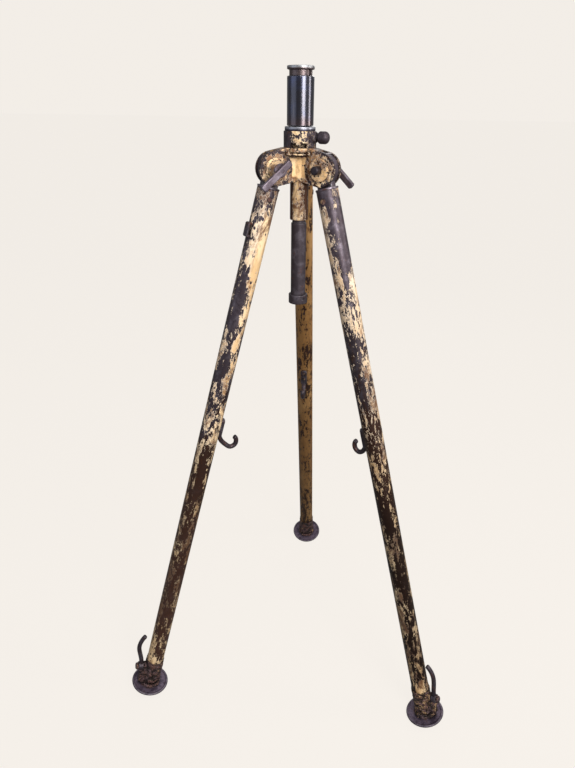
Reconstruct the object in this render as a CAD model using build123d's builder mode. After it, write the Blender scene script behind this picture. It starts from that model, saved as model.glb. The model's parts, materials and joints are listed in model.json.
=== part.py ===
from build123d import *
from math import cos, radians, sin, sqrt
import os

# A steel column tripod for survey instruments.  +Z is up and z = 0 is the ground.  The rear leg
# points along +Y, the left leg to azimuth 210 degrees and the right leg to 330 degrees.

os.makedirs("parts", exist_ok=True)

# ---------------------------------------------------------------- driving dimensions, millimetres
LEG_AZIMUTHS = {"left": 210, "right": 330, "rear": 90}
LEG_LENGTH = 1257.0          # foot disc to hinge axis, along the leg
LEG_TILT = 15.9              # leg axis from the vertical, degrees
PIVOT_RADIUS = 52.0          # hinge axis from the column axis
TUBE_R = 20.0
TUBE_WALL = 1.6

DISC_R = 44.2
DISC_T = 4.5                 # the rim is a full round of this thickness
DISC_BOSS_R = 22.0
DISH = 1.2                   # depth of the shallow ring between boss and rim

EAR_R = 29.5                 # round end of each hub ear
EAR_OUT = 13.0               # outer face of an ear from the leg's plane
EAR_IN = 7.5                 # inner face of an ear from the leg's plane
TONGUE_R = 27.5
TONGUE_HALF = 7.2            # 0.3 mm clear of each ear
WASHER_R = 19.6
WASHER_OUT = 16.5
BOLT_R = 5.5
RUN = 0.05                   # radial clearance of a running fit

ROD_R = 14.5                 # centre column
GUIDE_R = 17.0
GUIDE_BORE = 15.5
COLLAR_R = 29.2
SPIGOT_R = 23.5

Z_CAP_BOTTOM = 967.0
Z_CAP_TOP = 985.0
Z_NECK_BOTTOM = 1126.0       # relief groove of the column, just under the guide tube
Z_GUIDE_BOTTOM = 1131.0
Z_NECK_TOP = 1134.0
Z_BARREL_BOTTOM = 1202.0
Z_FLANGE_BOTTOM = 1250.0
Z_COLLAR_BOTTOM = 1257.0
Z_COLLAR_TOP = 1284.0
Z_RING_TOP = 1291.0
Z_SPIGOT_BOTTOM = 1292.0
Z_SPIGOT_TOP = 1369.0
Z_HEAD_TOP = 1384.5

# ---------------------------------------------------------------- places worked out from them
SIN_T = sin(radians(LEG_TILT))
COS_T = cos(radians(LEG_TILT))
RIM_R = DISC_T / 2
RIM_CIRCLE = DISC_R - RIM_R
FOOT_Z = RIM_CIRCLE * SIN_T + RIM_R
FOOT_RADIUS = PIVOT_RADIUS + LEG_LENGTH * SIN_T
PIVOT_Z = FOOT_Z + LEG_LENGTH * COS_T
REAR_REACH = FOOT_RADIUS + RIM_CIRCLE * COS_T + RIM_R
FRONT_REACH = FOOT_RADIUS / 2 + RIM_CIRCLE * sqrt(1 - (SIN_T / 2) ** 2) + RIM_R
COLUMN_Y = (FRONT_REACH - REAR_REACH) / 2    # puts the origin under the middle of the footprint


def outward(azimuth):
    """Horizontal unit vector from the column towards this azimuth."""
    return Vector(cos(radians(azimuth)), sin(radians(azimuth)), 0)


def sideways(azimuth):
    """Horizontal unit vector square to it, anticlockwise seen from above."""
    return Vector(-sin(radians(azimuth)), cos(radians(azimuth)), 0)


def column_point(radius, azimuth, z, side=0.0):
    return Vector(0, COLUMN_Y, z) + outward(azimuth) * radius + sideways(azimuth) * side


def level_plane(z):
    """Horizontal plane centred on the column."""
    return Plane(origin=(0, COLUMN_Y, z), x_dir=(1, 0, 0), z_dir=(0, 0, 1))


def radial_plane(azimuth):
    """Upright plane through the column: x is the distance from the column and y is the height."""
    return Plane(origin=(0, COLUMN_Y, 0), x_dir=outward(azimuth), z_dir=-sideways(azimuth))


def side_plane(azimuth, radius, z, side):
    """Plane square to the hinge axis, at a distance along it; its z runs along the axis."""
    origin = column_point(radius, azimuth, z, side)
    return Plane(origin=origin, x_dir=outward(azimuth), z_dir=sideways(azimuth))


def up_leg(azimuth):
    return Vector(0, 0, 1) * COS_T - outward(azimuth) * SIN_T


def off_leg(azimuth):
    """Unit vector square to the leg in its upright plane, pointing away from the column."""
    return outward(azimuth) * COS_T + Vector(0, 0, 1) * SIN_T


def leg_point(azimuth, off, along, side=0.0):
    foot = column_point(FOOT_RADIUS, azimuth, FOOT_Z)
    return foot + off_leg(azimuth) * off + up_leg(azimuth) * along + sideways(azimuth) * side


def leg_side_plane(azimuth, turn=0):
    """Plane along a leg's axis: x is the distance off the axis and y is the distance up from the disc.

    It is the leg's upright plane, or one turned about the leg's axis by this many degrees."""
    x_dir = off_leg(azimuth) * cos(radians(turn)) + sideways(azimuth) * sin(radians(turn))
    return Plane(origin=leg_point(azimuth, 0, 0), x_dir=x_dir, z_dir=x_dir.cross(up_leg(azimuth)))


def leg_section(azimuth, along, turn=0):
    """Plane square to a leg, this far up it."""
    x_dir = off_leg(azimuth) * cos(radians(turn)) + sideways(azimuth) * sin(radians(turn))
    return Plane(origin=leg_point(azimuth, 0, along), x_dir=x_dir, z_dir=up_leg(azimuth))


def leg_cross_plane(azimuth, along, side):
    """Plane facing sideways out of a leg, this far up it."""
    origin = leg_point(azimuth, 0, along, side)
    return Plane(origin=origin, x_dir=off_leg(azimuth), z_dir=sideways(azimuth))


def leg_face_plane(azimuth, off, along):
    """Plane facing away from the column, off a leg's axis: x runs up the leg."""
    return Plane(origin=leg_point(azimuth, off, along), x_dir=up_leg(azimuth), z_dir=off_leg(azimuth))


def leg_axis(azimuth):
    return Axis(leg_point(azimuth, 0, 0), up_leg(azimuth))


COLUMN_AXIS = Axis((0, COLUMN_Y, 0), (0, 0, 1))


def save(builder, label):
    builder.part.label = label
    export_step(builder.part, f"parts/{label}.step")


# ---------------------------------------------------------------- hub
HUB_R = 19.0
WEB_END = 46.0               # the web over the tongue ends here, from the column axis
SLOT_R = 28.3                # round clearance around the tongue
SLOT_START = 20.5            # the slot below the hinge starts here, from the column axis
SHOULDER = (30.0, 1260.0)    # where an ear's top edge leaves the collar seat
FAR_OUT = 120.0              # any length that clears the lobes
EDGE_ROUND = 1.2             # round on the edges of castings and washers

with BuildPart() as hub_casting:
    with BuildSketch(level_plane(Z_BARREL_BOTTOM)):
        Circle(HUB_R)
    extrude(amount=Z_COLLAR_BOTTOM - Z_BARREL_BOTTOM)
    for azimuth in LEG_AZIMUTHS.values():
        with BuildSketch(radial_plane(azimuth)):
            with BuildLine():
                CenterArc((PIVOT_RADIUS, PIVOT_Z), EAR_R, 0, 360)
                Line((0, Z_BARREL_BOTTOM), (0, Z_COLLAR_BOTTOM))
                Line((0, Z_COLLAR_BOTTOM), (SHOULDER[0], Z_COLLAR_BOTTOM))
            make_hull()
        extrude(amount=EAR_OUT, both=True)
        column_foot = column_point(0, azimuth, 0)
        outer_edges = hub_casting.edges().filter_by(
            lambda edge: (edge.center() - column_foot).dot(outward(azimuth)) > SHOULDER[0]
        )
        lobe_edges = outer_edges.filter_by(
            lambda edge: abs(abs((edge.center() - column_foot).dot(sideways(azimuth))) - EAR_OUT) < 0.01
        )
        fillet(lobe_edges, radius=EDGE_ROUND)
    with BuildSketch(level_plane(Z_FLANGE_BOTTOM)):
        Circle(COLLAR_R)
    extrude(amount=Z_COLLAR_BOTTOM - Z_FLANGE_BOTTOM)
    for azimuth in LEG_AZIMUTHS.values():
        with BuildSketch(radial_plane(azimuth)):
            with Locations((PIVOT_RADIUS, PIVOT_Z)):
                Circle(SLOT_R)
            with Locations((SLOT_START, PIVOT_Z)):
                Rectangle(FAR_OUT, FAR_OUT, align=(Align.MIN, Align.MAX))
            with Locations((WEB_END, PIVOT_Z)):
                Rectangle(FAR_OUT, FAR_OUT, align=(Align.MIN, Align.MIN))
        extrude(amount=EAR_IN, both=True, mode=Mode.SUBTRACT)
        with BuildSketch(side_plane(azimuth, PIVOT_RADIUS, PIVOT_Z, 0)):
            Circle(BOLT_R)
        extrude(amount=EAR_OUT, both=True, mode=Mode.SUBTRACT)
    with BuildSketch(level_plane(PIVOT_Z - EAR_R)):
        Circle(GUIDE_R)
    extrude(amount=Z_COLLAR_BOTTOM - PIVOT_Z + EAR_R, mode=Mode.SUBTRACT)
save(hub_casting, "hub_casting")

# ---------------------------------------------------------------- guide tube and its bushes
CLAMP_AZIMUTH = -20.0        # the column clamp screw points this way
CLAMP_Z = 1274.0
CLAMP_SCREW_R = 4.0
BUSH_LENGTH = 30.0


def clamp_plane(radius):
    """Plane square to the column clamp screw, this far out from the column axis."""
    return Plane(origin=column_point(radius, CLAMP_AZIMUTH, CLAMP_Z), z_dir=outward(CLAMP_AZIMUTH))


with BuildPart() as guide_tube:
    with BuildSketch(level_plane(Z_GUIDE_BOTTOM)):
        Circle(GUIDE_R)
    extrude(amount=Z_COLLAR_TOP - Z_GUIDE_BOTTOM)
    chamfer(guide_tube.edges().group_by(Axis.Z)[0], length=0.6)
    with BuildSketch(level_plane(Z_GUIDE_BOTTOM)):
        Circle(GUIDE_BORE)
    extrude(amount=Z_COLLAR_TOP - Z_GUIDE_BOTTOM, mode=Mode.SUBTRACT)
    with BuildSketch(clamp_plane(0)):
        Circle(CLAMP_SCREW_R)
    extrude(amount=GUIDE_R + 1, mode=Mode.SUBTRACT)
save(guide_tube, "guide_tube")

with BuildPart() as lower_guide_bush:
    with BuildSketch(level_plane(Z_GUIDE_BOTTOM)):
        Circle(GUIDE_BORE)
        Circle(ROD_R + RUN, mode=Mode.SUBTRACT)
    extrude(amount=BUSH_LENGTH)
save(lower_guide_bush, "lower_guide_bush")

with BuildPart() as upper_guide_bush:
    with BuildSketch(level_plane(Z_COLLAR_TOP - BUSH_LENGTH)):
        Circle(GUIDE_BORE)
        Circle(ROD_R + RUN, mode=Mode.SUBTRACT)
    extrude(amount=BUSH_LENGTH)
    with BuildSketch(clamp_plane(0)):
        Circle(CLAMP_SCREW_R)
    extrude(amount=GUIDE_BORE + 1, mode=Mode.SUBTRACT)
save(upper_guide_bush, "upper_guide_bush")

# ---------------------------------------------------------------- clamp collar and what it holds
FRONT = 270                  # azimuth of the collar's window
WINDOW_WIDTH = 29.0
WINDOW_HEIGHT = 8.0
WINDOW_FLOOR_R = 19.0        # the window is cut in to this radius
TAB_WIDTH = 8.0
TAB_DROP = 3.6
BOSS_R = 9.0
BOSS_END = 33.0              # end of the clamp screw's boss from the column axis
BOSS_ROOT = 22.0             # the boss starts here, inside the collar
COLLAR_RING_R = 27.3

with BuildPart() as clamp_collar:
    with BuildSketch(level_plane(Z_COLLAR_BOTTOM)):
        Circle(COLLAR_R)
    extrude(amount=Z_COLLAR_TOP - Z_COLLAR_BOTTOM)
    fillet(clamp_collar.edges().group_by(Axis.Z)[-1], radius=1.5)
    with BuildSketch(clamp_plane(BOSS_ROOT)):
        Circle(BOSS_R)
    extrude(amount=BOSS_END - BOSS_ROOT)
    chamfer(clamp_collar.faces().sort_by(Axis.X)[-1].edges(), length=1.0)
    window_origin = column_point(COLLAR_R + 1, FRONT, 0)
    with BuildSketch(Plane(origin=window_origin, x_dir=(1, 0, 0), z_dir=outward(FRONT))):
        with Locations((0, Z_COLLAR_BOTTOM)):
            Rectangle(WINDOW_WIDTH, WINDOW_HEIGHT, align=(Align.CENTER, Align.MIN))
        with Locations((0, Z_COLLAR_BOTTOM + WINDOW_HEIGHT)):
            Rectangle(TAB_WIDTH, TAB_DROP, align=(Align.CENTER, Align.MAX), mode=Mode.SUBTRACT)
    extrude(amount=-(COLLAR_R + 1 - WINDOW_FLOOR_R), mode=Mode.SUBTRACT)
    with BuildSketch(level_plane(Z_COLLAR_BOTTOM)):
        Circle(GUIDE_R)
    extrude(amount=Z_COLLAR_TOP - Z_COLLAR_BOTTOM, mode=Mode.SUBTRACT)
    with BuildSketch(clamp_plane(GUIDE_R - 2)):
        Circle(CLAMP_SCREW_R + RUN)
    extrude(amount=BOSS_END, mode=Mode.SUBTRACT)
save(clamp_collar, "clamp_collar")

with BuildPart() as collar_ring:
    with BuildSketch(level_plane(Z_COLLAR_TOP)):
        Circle(COLLAR_RING_R)
    extrude(amount=Z_RING_TOP - Z_COLLAR_TOP)
    fillet(collar_ring.edges(), radius=EDGE_ROUND)
    with BuildSketch(level_plane(Z_COLLAR_TOP)):
        Circle(ROD_R + RUN)
    extrude(amount=Z_RING_TOP - Z_COLLAR_TOP, mode=Mode.SUBTRACT)
save(collar_ring, "collar_ring")

PAD_OUTER = 19.8
with BuildPart() as brake_pad:
    with BuildSketch(clamp_plane(ROD_R - 2)):
        Circle(CLAMP_SCREW_R)
    extrude(amount=PAD_OUTER - ROD_R + 2)
    with BuildSketch(level_plane(CLAMP_Z - BUSH_LENGTH / 2)):
        Circle(ROD_R + RUN)
    extrude(amount=BUSH_LENGTH, mode=Mode.SUBTRACT)
save(brake_pad, "brake_pad")

LIP_WIDTH = 41.0
LIP_OUT = 34.0               # front edge of the lip from the column axis
LIP_BOTTOM = 1244.5
LIP_T = 5.5
CURL_R = 4.0                 # rolled ends of the lip
CURL_RISE = 3.5
LIP_DEPTH = 22.0
CURL_PLACES = [
    (-LIP_WIDTH / 2 + 1, -LIP_OUT + CURL_R),
    (LIP_WIDTH / 2 - 1, -LIP_OUT + CURL_R),
]
with BuildPart() as front_lip:
    with BuildSketch(level_plane(LIP_BOTTOM)):
        with Locations((0, -LIP_OUT)):
            RectangleRounded(LIP_WIDTH, LIP_DEPTH, CURL_R, align=(Align.CENTER, Align.MIN))
        with Locations(CURL_PLACES):
            Circle(CURL_R)
        Circle(HUB_R, mode=Mode.SUBTRACT)
    extrude(amount=LIP_T)
    with BuildSketch(level_plane(LIP_BOTTOM + LIP_T)):
        with Locations(CURL_PLACES):
            Circle(CURL_R)
        Circle(COLLAR_R, mode=Mode.SUBTRACT)
    extrude(amount=CURL_RISE)
    fillet(front_lip.edges().group_by(Axis.Z)[-1], radius=0.8)
    for azimuth in (LEG_AZIMUTHS["left"], LEG_AZIMUTHS["right"]):
        with BuildSketch(radial_plane(azimuth)):
            with Locations((0, PIVOT_Z)):
                Rectangle(FAR_OUT, FAR_OUT, align=(Align.MIN, Align.CENTER))
        extrude(amount=EAR_OUT + 0.02, both=True, mode=Mode.SUBTRACT)
save(front_lip, "front_lip")

LIP_RIVET_R = 3.6
LIP_RIVET_T = 2.5
LIP_RIVET_SPREAD = 16.0      # between the two rivets
LIP_RIVET_OUT = 26.0         # in front of the column axis
with BuildPart() as lip_rivets:
    with BuildSketch(level_plane(LIP_BOTTOM - LIP_RIVET_T)):
        with Locations((-LIP_RIVET_SPREAD / 2, -LIP_RIVET_OUT), (LIP_RIVET_SPREAD / 2, -LIP_RIVET_OUT)):
            Circle(LIP_RIVET_R)
    extrude(amount=LIP_RIVET_T)
    fillet(lip_rivets.edges().group_by(Axis.Z)[0], radius=1.5)
save(lip_rivets, "lip_rivets")

# ---------------------------------------------------------------- hinge bolts, washers and clamp levers
BOLT_HEAD_R = 7.5
BOLT_HEAD_END = 30.5         # end of the bolt head from the leg's plane
NUT_START = 16.6
NUT_BASE_R = 15.5
NUT_TOP_R = 11.5
NUT_END = 38.0
NUT_BLIND = 37.2             # bottom of the nut's thread
HANDLE_END = 46.0
HANDLE_WIDTH = 11.8
HANDLE_UP = 21.0             # short end, from the hinge axis
HANDLE_DOWN = 47.0           # long end, from the hinge axis
HANDLE_ANGLE = 50.0          # long end, from straight down towards the outside
HANDLE_CORNER = 3.5
HANDLE_ROUND = 1.6
STUB_R = 4.0

for name, azimuth in LEG_AZIMUTHS.items():
    hinge_axis = Axis(column_point(PIVOT_RADIUS, azimuth, PIVOT_Z), sideways(azimuth))

    with BuildPart() as hinge_bolt:
        with BuildSketch(side_plane(azimuth, PIVOT_RADIUS, PIVOT_Z, -WASHER_OUT)):
            Circle(BOLT_R)
        extrude(amount=WASHER_OUT + NUT_BLIND - 0.2)
        with BuildSketch(side_plane(azimuth, PIVOT_RADIUS, PIVOT_Z, -BOLT_HEAD_END)):
            Circle(BOLT_HEAD_R)
        extrude(amount=BOLT_HEAD_END - WASHER_OUT)
        fillet(hinge_bolt.edges().sort_by(hinge_axis)[0], radius=2.5)
    save(hinge_bolt, f"hinge_bolt_{name}")

    with BuildPart() as hinge_washers:
        for start in (-WASHER_OUT, EAR_OUT):
            with BuildSketch(side_plane(azimuth, PIVOT_RADIUS, PIVOT_Z, start)):
                Circle(WASHER_R)
            extrude(amount=WASHER_OUT - EAR_OUT)
        outer_rims = hinge_washers.edges().sort_by(hinge_axis)
        fillet([outer_rims[0], outer_rims[-1]], radius=EDGE_ROUND)
        with BuildSketch(side_plane(azimuth, PIVOT_RADIUS, PIVOT_Z, 0)):
            Circle(BOLT_R)
        extrude(amount=WASHER_OUT, both=True, mode=Mode.SUBTRACT)
    save(hinge_washers, f"hinge_washers_{name}")

    with BuildPart() as clamp_nut:
        with BuildSketch(side_plane(azimuth, PIVOT_RADIUS, PIVOT_Z, NUT_START)):
            Circle(NUT_BASE_R)
        with BuildSketch(side_plane(azimuth, PIVOT_RADIUS, PIVOT_Z, NUT_END)):
            Circle(NUT_TOP_R)
        loft()
        nut_rims = clamp_nut.edges().filter_by(GeomType.CIRCLE).sort_by(hinge_axis)
        fillet(nut_rims, radius=1.0)
        with BuildSketch(side_plane(azimuth, PIVOT_RADIUS, PIVOT_Z, NUT_END)):
            Circle(STUB_R)
        extrude(amount=HANDLE_END - NUT_END)
        with BuildSketch(side_plane(azimuth, PIVOT_RADIUS, PIVOT_Z, NUT_START)):
            Circle(BOLT_R + RUN)
        extrude(amount=NUT_BLIND - NUT_START, mode=Mode.SUBTRACT)
    save(clamp_nut, f"clamp_nut_{name}")

    with BuildPart() as clamp_handle:
        lever_centre = column_point(PIVOT_RADIUS, azimuth, PIVOT_Z, NUT_END)
        down = Vector(0, 0, -1)
        along = outward(azimuth) * sin(radians(HANDLE_ANGLE)) + down * cos(radians(HANDLE_ANGLE))
        with BuildSketch(Plane(origin=lever_centre, x_dir=along, z_dir=sideways(azimuth))):
            with Locations(((HANDLE_DOWN - HANDLE_UP) / 2, 0)):
                RectangleRounded(HANDLE_UP + HANDLE_DOWN, HANDLE_WIDTH, HANDLE_CORNER)
        extrude(amount=HANDLE_END - NUT_END)
        broad_faces = clamp_handle.faces().sort_by(hinge_axis)
        fillet(broad_faces[0].edges() + broad_faces[-1].edges(), radius=HANDLE_ROUND)
        with BuildSketch(side_plane(azimuth, PIVOT_RADIUS, PIVOT_Z, NUT_END)):
            Circle(STUB_R)
        extrude(amount=HANDLE_END - NUT_END, mode=Mode.SUBTRACT)
    save(clamp_handle, f"clamp_handle_{name}")

# ---------------------------------------------------------------- column, cap and spigot head
ROD_BORE = 9.5
ROD_STUB_R = 12.0
NECK_R = 12.5
CAP_R = 18.5
CAP_FLOOR = 5.0              # thickness of the cap under the column's stub
SET_SCREW_AZIMUTH = -50
SET_SCREW_Z = Z_CAP_BOTTOM + 11.0
SET_SCREW_R = 2.5
SET_SCREW_LENGTH = 5.4
DRIVER_SLOT = 0.8
POST_TOP = 1360.0
THREAD_DEPTH = 40.0          # the retaining screw's hole in the column
SCREW_R = 4.0
HEAD_SCREW_R = 7.0
HEAD_SCREW_LENGTH = 30.0     # below the column's top
HEX_R = 4.0
HEX_DEPTH = 3.0
NECK_OUT = 19.75
LATCH_AZIMUTH = -35
LATCH_Z = Z_SPIGOT_TOP + 4.5
LATCH_WIDTH = 5.0
LATCH_HEIGHT = 9.0
LATCH_DEPTH = 2.5
LATCH_TURN = 25              # the latch notch leans by this angle


def set_screw_plane(radius):
    """Plane square to the cap's set screw, this far out from the column axis."""
    origin = column_point(radius, SET_SCREW_AZIMUTH, SET_SCREW_Z)
    return Plane(origin=origin, z_dir=outward(SET_SCREW_AZIMUTH))


with BuildPart() as column_rod:
    with BuildSketch(radial_plane(0)):
        with BuildLine():
            Polyline(
                (ROD_BORE, Z_CAP_BOTTOM + CAP_FLOOR),
                (ROD_STUB_R, Z_CAP_BOTTOM + CAP_FLOOR),
                (ROD_STUB_R, Z_CAP_TOP),
                (ROD_R, Z_CAP_TOP),
                (ROD_R, Z_NECK_BOTTOM - 2),
                (NECK_R, Z_NECK_BOTTOM),
                (NECK_R, Z_NECK_TOP),
                (ROD_R, Z_NECK_TOP + 2),
                (ROD_R, POST_TOP - 1),
                (ROD_R - 1, POST_TOP),
                (SCREW_R, POST_TOP),
                (SCREW_R, POST_TOP - THREAD_DEPTH),
                (ROD_BORE, POST_TOP - THREAD_DEPTH),
                close=True,
            )
        make_face()
    revolve(axis=COLUMN_AXIS)
save(column_rod, "column_rod")

with BuildPart() as rod_cap:
    with BuildSketch(level_plane(Z_CAP_BOTTOM)):
        Circle(CAP_R)
    extrude(amount=Z_CAP_TOP - Z_CAP_BOTTOM)
    fillet(rod_cap.edges().group_by(Axis.Z)[0], radius=1.5)
    fillet(rod_cap.edges().group_by(Axis.Z)[-1], radius=1.0)
    with BuildSketch(level_plane(Z_CAP_BOTTOM + CAP_FLOOR)):
        Circle(ROD_STUB_R)
    extrude(amount=Z_CAP_TOP - Z_CAP_BOTTOM, mode=Mode.SUBTRACT)
    with BuildSketch(set_screw_plane(0)):
        Circle(SET_SCREW_R)
    extrude(amount=FAR_OUT, mode=Mode.SUBTRACT)
save(rod_cap, "rod_cap")

with BuildPart() as cap_set_screw:
    with BuildSketch(set_screw_plane(ROD_STUB_R + 0.1)):
        Circle(SET_SCREW_R)
    extrude(amount=SET_SCREW_LENGTH)
    with BuildSketch(set_screw_plane(CAP_R - 2 * DRIVER_SLOT)):
        Rectangle(DRIVER_SLOT, FAR_OUT)
    extrude(amount=FAR_OUT, mode=Mode.SUBTRACT)
save(cap_set_screw, "cap_set_screw")

with BuildPart() as spigot_sleeve:
    with BuildSketch(level_plane(Z_SPIGOT_BOTTOM)):
        Circle(SPIGOT_R)
    extrude(amount=Z_SPIGOT_TOP - Z_SPIGOT_BOTTOM)
    chamfer(spigot_sleeve.edges(), length=1.0)
    with BuildSketch(level_plane(Z_SPIGOT_BOTTOM)):
        Circle(ROD_R + RUN)
    extrude(amount=POST_TOP + 0.1 - Z_SPIGOT_BOTTOM, mode=Mode.SUBTRACT)
    with BuildSketch(level_plane(POST_TOP)):
        Circle(SCREW_R + RUN)
    extrude(amount=Z_SPIGOT_TOP - POST_TOP, mode=Mode.SUBTRACT)
save(spigot_sleeve, "spigot_sleeve")

FLANGE_EDGE = 5.5            # height of the flange's straight rim
CONE_RISE = 1.2
SEAT_DEPTH = 6.0             # counterbore for the retaining screw's head
with BuildPart() as head_flange:
    with BuildSketch(radial_plane(0)):
        with BuildLine():
            Polyline(
                (SCREW_R + RUN, Z_SPIGOT_TOP),
                (NECK_OUT, Z_SPIGOT_TOP),
                (NECK_OUT, Z_HEAD_TOP - FLANGE_EDGE - CONE_RISE),
                (SPIGOT_R - 0.5, Z_HEAD_TOP - FLANGE_EDGE),
                (SPIGOT_R, Z_HEAD_TOP - FLANGE_EDGE + 0.5),
                (SPIGOT_R, Z_HEAD_TOP - 0.8),
                (SPIGOT_R - 0.8, Z_HEAD_TOP),
                (HEAD_SCREW_R + 0.3, Z_HEAD_TOP),
                (HEAD_SCREW_R + 0.3, Z_HEAD_TOP - SEAT_DEPTH),
                (SCREW_R + RUN, Z_HEAD_TOP - SEAT_DEPTH),
                close=True,
            )
        make_face()
    revolve(axis=COLUMN_AXIS)
    latch_origin = column_point(NECK_OUT - LATCH_DEPTH, LATCH_AZIMUTH, LATCH_Z)
    latch_notch = Plane(origin=latch_origin, z_dir=outward(LATCH_AZIMUTH))
    with BuildSketch(latch_notch.rotated((0, 0, LATCH_TURN))):
        Rectangle(LATCH_WIDTH, LATCH_HEIGHT)
    extrude(amount=NECK_OUT, mode=Mode.SUBTRACT)
save(head_flange, "head_flange")

with BuildPart() as head_screw:
    with BuildSketch(level_plane(POST_TOP - HEAD_SCREW_LENGTH)):
        Circle(SCREW_R)
    extrude(amount=Z_HEAD_TOP - SEAT_DEPTH + 0.1 - POST_TOP + HEAD_SCREW_LENGTH)
    with BuildSketch(level_plane(Z_HEAD_TOP - SEAT_DEPTH + 0.1)):
        Circle(HEAD_SCREW_R)
    extrude(amount=SEAT_DEPTH - 1)
    with BuildSketch(level_plane(Z_HEAD_TOP - HEX_DEPTH)):
        RegularPolygon(radius=HEX_R, side_count=6)
    extrude(amount=HEX_DEPTH, mode=Mode.SUBTRACT)
save(head_screw, "head_screw")

# ---------------------------------------------------------------- column clamp screw and knob
KNOB_START = 36.0            # from the column axis
KNOB_END = 56.0
KNOB_R = 10.4
KNOB_NECK_R = 6.5
KNOB_NECK = 2.4              # length of the knob's neck
KNOB_GRIP = 8.0              # depth of the screw in the knob
KNOB_CROWN = 7.6             # rounds of the knob's outer and inner ends
KNOB_SHOULDER = 5.0

with BuildPart() as clamp_screw:
    with BuildSketch(clamp_plane(PAD_OUTER + 0.2)):
        Circle(CLAMP_SCREW_R)
    extrude(amount=KNOB_START + KNOB_GRIP - PAD_OUTER - 0.2)
save(clamp_screw, "clamp_screw")

with BuildPart() as clamp_knob:
    with BuildSketch(clamp_plane(KNOB_START)):
        Circle(KNOB_R)
    extrude(amount=KNOB_END - KNOB_START)
    knob_rims = clamp_knob.edges().filter_by(GeomType.CIRCLE).sort_by(
        Axis(column_point(0, CLAMP_AZIMUTH, CLAMP_Z), outward(CLAMP_AZIMUTH))
    )
    fillet(knob_rims[-1], radius=KNOB_CROWN)
    fillet(knob_rims[0], radius=KNOB_SHOULDER)
    with BuildSketch(clamp_plane(KNOB_START - KNOB_NECK)):
        Circle(KNOB_NECK_R)
    extrude(amount=KNOB_NECK + 1)
    with BuildSketch(clamp_plane(KNOB_START - KNOB_NECK)):
        Circle(CLAMP_SCREW_R)
    extrude(amount=KNOB_NECK + KNOB_GRIP, mode=Mode.SUBTRACT)
save(clamp_knob, "clamp_knob")

# ---------------------------------------------------------------- legs
TUBE_IN = TUBE_R - TUBE_WALL
TUBE_START = 14.0            # the tube stands on the bottom of the foot socket
SOCKET_TOP = 78.0
SOCKET_CURVE = [             # outside of the socket: radius and height above the disc
    (15.0, RIM_R),
    (20.0, 9.0),
    (22.0, 20.0),
    (21.6, 42.0),
    (21.9, 62.0),
    (21.5, SOCKET_TOP - 4),
]
RING_R = 20.8                # thin ring between the knuckle and the tube
RING_TOP = LEG_LENGTH - 31.5
RING_BOTTOM = LEG_LENGTH - 35.0
PLUG_BOTTOM = LEG_LENGTH - 68.0
SHANK_HALF = 15.0
STOP_ANGLE = 20.0            # the tongue's stop lug, from straight up towards the outside
STOP_R = 29.5
STOP_DEPTH = 6.0
STOP_WIDTH = 3.0
PIN_R = 3.0
PIN_ALONG = LEG_LENGTH - 53.0
PIN_HEAD_R = 5.0
PIN_SEAT = 19.2
SOCKET_PIN_ALONG = 31.0
SOCKET_PIN_R = 6.0
SOCKET_SEAT = 20.3
DOME_R = 8.5                 # riveted head of the socket's cross pin
DOME_T = 4.0

LUG_R = 11.0
LUG_END = 28.0
LUG_FOOT = 5.0               # the lug comes down to here, above the disc
HEEL_HALF = 8.0
HEEL_TOP = 42.0
HEEL_PROFILE = [             # thick foot of the lug: distance off the leg's axis and height
    (0, LUG_FOOT),
    (29.5, LUG_FOOT),
    (34.5, LUG_FOOT + 6),
    (34.5, HEEL_TOP - 7),
    (LUG_END - 2, HEEL_TOP),
    (0, HEEL_TOP),
]
CLAW_ALONG = 57.0            # claw bolt above the disc
CLAW_BOLT_R = 4.0
CLAW_EYE_R = 10.0
CLAW_EYE_START = 28.3
CLAW_EYE_END = 38.7
CLAW_BAR_R = 5.2
CLAW_HEAD_R = 8.0
CLAW_HEAD_T = 6.5
CLAW_OFF = (CLAW_EYE_START + CLAW_EYE_END) / 2
CLAW_PATHS = {
    "left": [(CLAW_OFF, 57), (CLAW_OFF + 1.5, 76), (43.5, 104), (47, 120), (45.5, 136), (37, 154)],
    "right": [(CLAW_OFF, 57), (CLAW_OFF + 1.2, 78), (39, 104), (40.2, 120), (37.5, 136), (28, 151)],
    "rear": [(CLAW_OFF, 57), (CLAW_OFF + 1.5, 77), (42.5, 104), (45, 120), (43, 136), (34, 153)],
}

HOOK_BAR_R = 5.1
HOOK_START = (-22, 726)      # each bar starts inside its strip
HOOK_BENDS = {
    "left": [(-25, 707), (-33, 697), (-43, 690), (-54, 685.5), (-63, 691), (-64, 702), (-58, 710)],
    "right": [(-25.5, 707), (-34, 697.5), (-42.5, 695.5), (-49.5, 702), (-50, 712), (-44, 721)],
    "rear": [(-25, 707), (-33, 697.5), (-42, 692.5), (-52, 691), (-58.5, 700), (-54, 712)],
}
STRIP_BOTTOM = 708.0
STRIP_TOP = 752.0
STRIP_OUT = 25.5
STRIP_WIDTH = 15.0
RIVET_PLACES = (729.0, 745.0)
RIVET_R = 2.5
RIVET_HEAD_R = 4.0
RIVET_HEAD_T = 2.2

STAPLE_BOTTOM = 1131.0
STAPLE_TOP = 1158.0
STAPLE_OUT = 28.0
STAPLE_SLOT = 3.6            # room for a sling between the staple and the tube
STAPLE_T = 4.4
STAPLE_WIDTH = 12.0
STAPLE_TURN = 15             # round the leg, from straight outwards
STAPLE_FILL = 6.0            # the staple's blank starts this far inside the tube

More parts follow.
